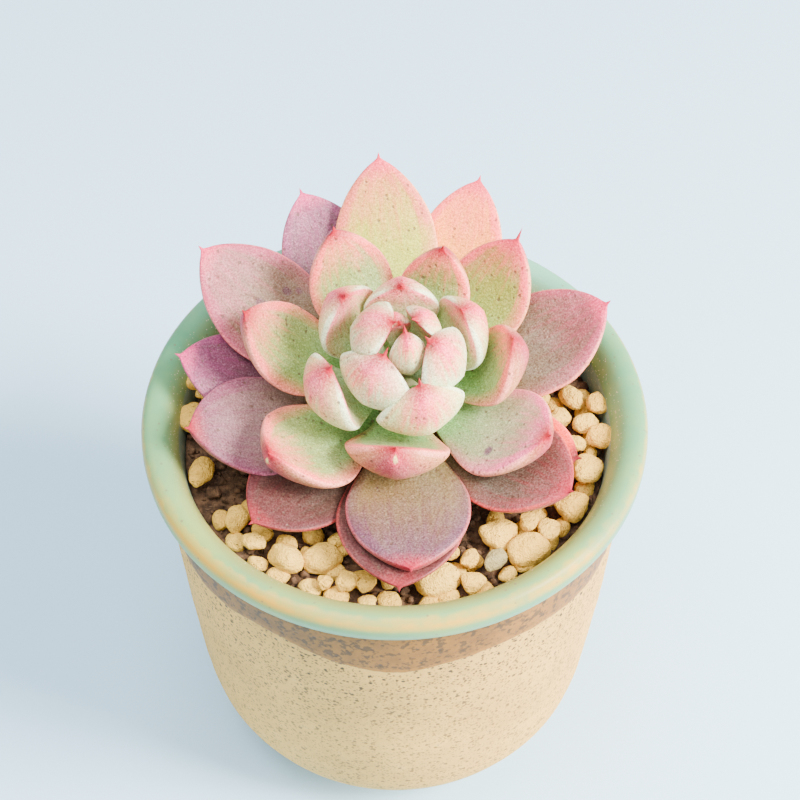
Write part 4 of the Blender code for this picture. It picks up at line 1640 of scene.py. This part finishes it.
@dataclass
class Ground:
    """Soil and grit in the pot's mouth.

    Attributes:
        grit_top: Height of the grit's general top.
        grit_reach: How far out a stone may reach.
        bed_rows: Radii of the rows under the stones that show.
        bed_spacing: Distance between the stones of a row.
        bed_shrink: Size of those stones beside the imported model's.
        bed_drop: How much lower they lie.
        corners: How many corners a plain stone that shows has.
        few_corners: How many a plain small stone or crumb has.
        margin: Room that a stone needs, in shares of its size.
        tries: How often a stone is moved to be clear of the leaves.
        lump_scale: Lumps of a stone per metre.
        soil_rings: Rings of the soil's surface.
        soil_sides: Points of each ring.
        crumb_count: Number of small crumbs.
        bed_seed: Seed of the stones.
        crumb_seed: Seed of the crumbs.
        shown: Stones that show round the rosette.
        loose: The loose stone on the soil.
        grey: The grey stone.
        bare: Where the soil shows.
        crumbs: Patches of larger crumbs, with their number and size in millimetres.
    """

    grit_top: float = RIM_HEIGHT - 3.4 * MM
    grit_reach: float = MOUTH_RADIUS + 1.2 * MM
    bed_rows: Tuple[float, ...] = (35.2 * MM, 30.2 * MM, 25.2 * MM)
    bed_spacing: float = 5.0 * MM
    bed_shrink: float = 0.84
    bed_drop: float = 0.6 * MM
    corners: int = 30
    few_corners: int = 12
    margin: float = 0.42
    tries: int = 8
    lump_scale: float = 420.0
    soil_rings: int = 60
    soil_sides: int = 120
    crumb_count: int = 1500
    bed_seed: int = 7
    crumb_seed: int = 3
    shown: Tuple[Stone, ...] = (
        Stone(214, 33.0, 6.4, 80, 0.0), Stone(224, 33.8, 4.8, 0, -0.6),
        Stone(236, 32.6, 8.0, -20, 0.2), Stone(245, 29.3, 7.6, 30, -0.4),
        Stone(256, 32.9, 4.8, 40, 0.0), Stone(262, 32.6, 4.4, 60, 0.0),
        Stone(250, 34.0, 3.6, 0, -0.8), Stone(284, 32.0, 8.4, 20, 0.4),
        Stone(295, 30.2, 4.8, 70, 0.0), Stone(293, 34.6, 5.6, 5, -0.6),
        Stone(310, 28.6, 8.4, 25, 0.2), Stone(313, 34.2, 8.4, 20, 0.2),
        Stone(319, 30.7, 4.4, 80, 0.2), Stone(321, 34.2, 5.2, 100, 0.0),
        Stone(332, 35.4, 7.8, 30, 1.0), Stone(346, 35.0, 7.8, 80, 1.0),
        Stone(357, 37.2, 6.0, 20, 1.4), Stone(354, 32.2, 4.6, 0, 0.6),
        Stone(2, 34.6, 5.2, 10, 0.8), Stone(8, 37.0, 5.6, 90, 1.6),
        Stone(12, 33.0, 6.6, -40, 1.0), Stone(5, 29.8, 5.0, 60, 0.6),
        Stone(15, 27.2, 4.6, 10, 0.0), Stone(23, 37.6, 4.4, 60, 2.4),
        Stone(50, 36.0, 5.0, 20, 2.0), Stone(62, 36.0, 5.2, 50, 1.8),
        Stone(153, 37.6, 6.6, 60, 2.6), Stone(164, 37.4, 5.0, 20, 2.0),
        Stone(168, 35.4, 4.0, 80, 1.4), Stone(176, 36.6, 7.0, 90, 1.4),
        Stone(290, 27.6, 3.8, 0, -0.8), Stone(247, 24.8, 3.8, 30, -1.4))
    loose: Stone = Stone(194, 35.2, 7.4, 75, 0.2)
    grey: Stone = Stone(302, 32.6, 5.6, 60, 0.4)
    bare: Tuple[Patch, ...] = (
        Patch(181, 207, 0.0, 40.0), Patch(17, 26, 30.0, 40.0), Patch(292, 308, 0.0, 28.0))
    crumbs: Tuple[Tuple[Patch, int, float], ...] = (
        (Patch(183, 201, 27.0, 35.0), 13, 1.6), (Patch(18, 25, 32.0, 35.5), 6, 2.5),
        (Patch(294, 307, 22.0, 27.0), 5, 1.4))

    def lay(self, stone: Stone, draw: random.Random, corners: int) -> Lump:
        """Lay a stone with its top near the grit's own top.

        Args:
            stone: The stone.
            draw: The seeded draw.
            corners: How many corners the plain stone has.

        Returns:
            The stone's final place.
        """
        length = stone.length * MM
        size = drawn_size(draw, length, corners)
        half = size.z / 2
        height = max(self.grit_top + stone.rise * MM - half, SOIL_LEVEL + 0.8 * half)
        out = min(stone.out * MM, self.grit_reach - self.margin * length)
        tilt = math.radians(draw.uniform(-14, 14))
        return Lump(around(math.radians(stone.turn), out, height), size,
                    Euler((tilt, 0.0, math.radians(stone.yaw))), shade_of(stone))

    def bed(self, draw: random.Random) -> List[Lump]:
        """Rows of smaller stones under and between those that show.

        Args:
            draw: The seeded draw.

        Returns:
            The stones.
        """
        lumps = []
        for row, radius in enumerate(self.bed_rows):
            count = round(2 * math.pi * radius / self.bed_spacing)
            for number in range(count):
                turn = 360 * (number + 0.5 * (row % 2)) / count + draw.uniform(-2, 2)
                out = radius + draw.uniform(-0.5 * MM, 0.5 * MM)
                length = draw.uniform(6.8, 8.2) * 0.74
                yaw = turn + 90 + draw.uniform(-35, 35)
                drop = draw.uniform(-2.0, -1.2) - 0.5
                if not any(patch.holds(turn, out) for patch in self.bare):
                    stone = Stone(turn, out / MM, length, yaw, drop)
                    lumps.append(self.lay(stone, draw, self.few_corners))
        return lumps

    def build(self, leaves: Sequence[Object]) -> None:
        """Build the soil and the grit.

        Args:
            leaves: The leaves, which the stones stay clear of.
        """
        crown = self.crown_of(leaves)
        heap = Heap()
        draw = random.Random(self.bed_seed)
        pale, grey_skin = Pebble().make("pale pebble"), GREY_PEBBLE.make("grey pebble")
        grey, loose, *shown = [self.lay(stone, draw, self.corners)
                               for stone in (self.grey, self.loose, *self.shown)]
        bed = self.bed(draw)
        for lump in (grey, loose, *shown):
            self.clear(lump, crown)
        bed = [lump for lump in bed if self.clear(lump, crown)]
        for lump in bed:
            lump.size *= self.bed_shrink
            lump.place.z -= self.bed_drop
        wide = self.lump_scale
        parts = [heap.make("shown stones", shown, pale, 1, 2, 0.8 * MM, wide),
                 heap.make("bed stones", bed, pale, 1, 1, 0.6 * MM, wide)]
        add_piece("grit_bed", merged("grit bed", parts), ["grit"])
        alone = heap.make("loose pebble", [loose], pale, 1, 2, 0.8 * MM, wide)
        add_piece("loose_pebble", alone, ["loose_stone"])
        alone = heap.make("grey pebble", [grey], grey_skin, 1, 2, 0.7 * MM, wide)
        add_piece("grey_pebble", alone, ["grey_stone"])
        self.build_soil(heap)

    @staticmethod
    def crown_of(leaves: Sequence[Object]) -> BVHTree:
        """A search tree of all the leaves' faces.

        Args:
            leaves: The leaves.

        Returns:
            The tree.
        """
        verts, faces = [], []
        for leaf in leaves:
            start = len(verts)
            verts += [vert.co.copy() for vert in leaf.data.vertices]
            faces += [[start + index for index in face.vertices] for face in leaf.data.polygons]
        return BVHTree.FromPolygons(verts, faces)

    def clear(self, lump: Lump, crown: BVHTree) -> bool:
        """Move or shrink a stone until it is clear of the leaves.

        Args:
            lump: The stone, which is changed.
            crown: The leaves.

        Returns:
            Whether the stone is still large enough to keep.
        """
        for _ in range(self.tries):
            spot, normal, _, gap = crown.find_nearest(lump.place)
            inside = (lump.place - spot).dot(normal) < 0
            need = self.margin * (lump.size.y + lump.size.z) / 2
            short = need + gap if inside else need - gap
            if short <= 0:
                return True
            away = (spot - lump.place if inside else lump.place - spot).normalized()
            lump.place += Vector((away.x, away.y, min(away.z, 0.0))) * short
            reach = self.grit_reach - self.margin * lump.size.x
            out = math.hypot(lump.place.x, lump.place.y)
            if out > reach:
                lump.place.x *= reach / out
                lump.place.y *= reach / out
            lump.place.z = max(lump.place.z, SOIL_LEVEL + 0.1 * lump.size.z)
        lump.size *= 0.6
        return crown.find_nearest(lump.place)[3] > 0.3 * lump.size.z

    def build_soil(self, heap: Heap) -> None:
        """Build the soil's body and its crumbs.

        Args:
            heap: The rule that makes crumbs.
        """
        earth = Earth().make("peaty soil")
        rings, sides = self.soil_rings, self.soil_sides
        pot = Pot()
        reach = MOUTH_RADIUS - 0.5 * MM
        inner = [point for point in pot.outline()[-pot.inner_points:]
                 if point[1] < SOIL_LEVEL - 4 * MM]
        shape = bmesh.new()
        middle = shape.verts.new((0.0, 0.0, SOIL_LEVEL))
        rows = []
        for ring in range(1, rings + 1):
            row = []
            for side in range(sides):
                turn, out = 2 * math.pi * side / sides, reach * ring / rings
                x, y = out * math.cos(turn), out * math.sin(turn)
                row.append(shape.verts.new((x, y, SOIL_LEVEL + self.swell(x, y, ring / rings))))
            rows.append(row)
        for radius, height in reversed(inner):
            rows.append([shape.verts.new(around(2 * math.pi * side / sides, radius - 0.3 * MM,
                                                height + 0.3 * MM)) for side in range(sides)])
        for side in range(sides):
            shape.faces.new((middle, rows[0][side], rows[0][(side + 1) % sides]))
        for upper, lower in zip(rows, rows[1:]):
            for side in range(sides):
                after = (side + 1) % sides
                shape.faces.new((upper[side], lower[side], lower[after], upper[after]))
        shape.faces.new(tuple(reversed(rows[-1])))
        bmesh.ops.recalc_face_normals(shape, faces=shape.faces)
        body = settled(shape, "soil body", earth)
        draw = random.Random(self.crumb_seed)
        clods = heap.make("clods", self.clods(draw), earth, 2, 1, 1.1 * MM, 700.0)
        fine = heap.make("crumbs", self.fine_crumbs(draw), earth, 1, 0, 0.5 * MM, 900.0)
        add_piece("crumbly_soil", merged("crumbly soil", [body, clods, fine]), ["soil"])

    @staticmethod
    def swell(x: float, y: float, share: float) -> float:
        """Rise and fall of the soil's surface.

        Args:
            x: Place along X.
            y: Place along Y.
            share: Place from the middle to the wall.

        Returns:
            The rise in metres.
        """
        fine = noise.noise(Vector((x, y, 0.1)) * 900) * 0.25 * MM
        return (fine + noise.noise(Vector((x, y, 0.3)) * 260) * 0.5 * MM) * min(1, 20 * (1 - share))

    def clods(self, draw: random.Random) -> List[Lump]:
        """The larger crumbs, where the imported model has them.

        Args:
            draw: The seeded draw, in the source's order.

        Returns:
            The crumbs.
        """
        lumps = []
        for patch, count, size in self.crumbs:
            for _ in range(count):
                turn = math.radians(draw.uniform(patch.start, patch.end))
                out = draw.uniform(patch.near, patch.far) * MM
                sides = drawn_size(draw, size * draw.uniform(1.2, 2.2) * MM, self.few_corners)
                rise = draw.uniform(0.0, 0.8) * sides.z / 2
                yaw = draw.uniform(0, math.pi)
                lumps.append(Lump(around(turn, out, SOIL_LEVEL + rise), sides,
                                  Euler((0, 0, yaw)), 0.5))
        return lumps

    def fine_crumbs(self, draw: random.Random) -> List[Lump]:
        """Small crumbs strewn over the soil.

        Args:
            draw: The seeded draw.

        Returns:
            The crumbs.
        """
        lumps = []
        for _ in range(self.crumb_count):
            out = (MOUTH_RADIUS - 1.2 * MM) * math.sqrt(draw.uniform(0.18, 1.0))
            turn = draw.uniform(0, 2 * math.pi)
            size = draw.uniform(0.5, 1.5) ** 1.3 * MM
            lumps.append(Lump(
                around(turn, out, SOIL_LEVEL + draw.uniform(0.1, 0.5) * size),
                Vector((size * draw.uniform(0.8, 1.5), size, size * draw.uniform(0.6, 1.0))),
                Euler([draw.uniform(0, math.pi) for _ in range(3)]), draw.random()))
        return lumps


def shade_of(stone: Stone) -> float:
    """A number of its own for a stone, from its place."""
    return (math.sin(stone.turn * 12.9 + stone.out * 7.7) * 43758.5) % 1.0


# Studio

@dataclass
class Studio:
    """Floor, light and camera.

    Attributes:
        eye: The camera's place.
        dip: How far it looks down, in degrees.
        lens: Its focal length in millimetres.
    """

    eye: Tuple[float, float, float] = (0.94 * MM, -196.3 * MM, 337.0 * MM)
    dip: float = 51.70
    lens: float = 81.0

    def build(self) -> None:
        """Set up the floor, the lights and the camera."""
        floor_mesh = bpy.data.meshes.new("floor")
        reach = 3.0
        floor_mesh.from_pydata([(-reach, -reach, 0), (reach, -reach, 0), (reach, reach, 0),
                                (-reach, reach, 0)], [], [(0, 1, 2, 3)])
        floor_mesh.materials.append(Backdrop().make("pale cloth"))
        floor = placed("studio_floor", floor_mesh)
        floor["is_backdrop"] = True
        world = bpy.data.worlds.new("soft sky")
        bpy.context.scene.world = world
        world.use_nodes = True
        sky = world.node_tree.nodes["Background"]
        sky.inputs["Color"].default_value = (0.92, 0.96, 1.0, 1.0)
        sky.inputs["Strength"].default_value = 0.85
        self.lamp("key", (0.50, -0.18, 0.60), 0.26, 24.0, (1.0, 0.95, 0.86))
        self.lamp("overhead", (-0.12, -0.04, 0.76), 0.4, 7.0, (1.0, 0.99, 0.96))
        self.lamp("side", (0.62, -0.16, 0.24), 0.25, 13.0, (1.0, 0.93, 0.80))
        self.lamp("front", (-0.10, -0.62, 0.55), 0.6, 3.0, (1.0, 0.98, 0.96))
        camera = bpy.data.cameras.new("camera")
        camera.lens = self.lens
        camera.sensor_width = 36.0
        camera.clip_start = 0.01
        holder = placed("camera", camera)
        holder.location = self.eye
        holder.rotation_euler = (math.radians(90.0 - self.dip), 0.0, 0.0)
        bpy.context.scene.camera = holder

    @staticmethod
    def lamp(name: str, place: Tuple[float, float, float], size: float, power: float,
             colour: Colour) -> None:
        """Hang a soft lamp that faces the plant.

        Args:
            name: The lamp's name.
            place: Where it hangs.
            size: Its side in metres.
            power: Its power in watts.
            colour: Its colour.
        """
        light = bpy.data.lights.new(name, 'AREA')
        light.size = size
        light.energy = power
        light.color = colour
        holder = placed(name, light)
        holder.location = place
        aim = Vector((0.0, 0.0, 0.07)) - Vector(place)
        holder.rotation_euler = aim.to_track_quat('-Z', 'Y').to_euler()


def main() -> None:
    """Build the whole object and note its size."""
    logging.basicConfig(level=logging.INFO, format="%(message)s")
    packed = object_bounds()
    Studio().build()
    Pot().build()
    rosette = Rosette()
    rosette.build_stem()
    leaves = rosette.build_leaves()
    Ground().build(leaves)
    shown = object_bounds()
    for label, (low, high) in (("packed", packed), ("shown", shown)):
        LOG.info("%s size in mm: %s", label, [round((b - a) / MM, 1) for a, b in zip(low, high)])


if __name__ == "__main__":
    main()
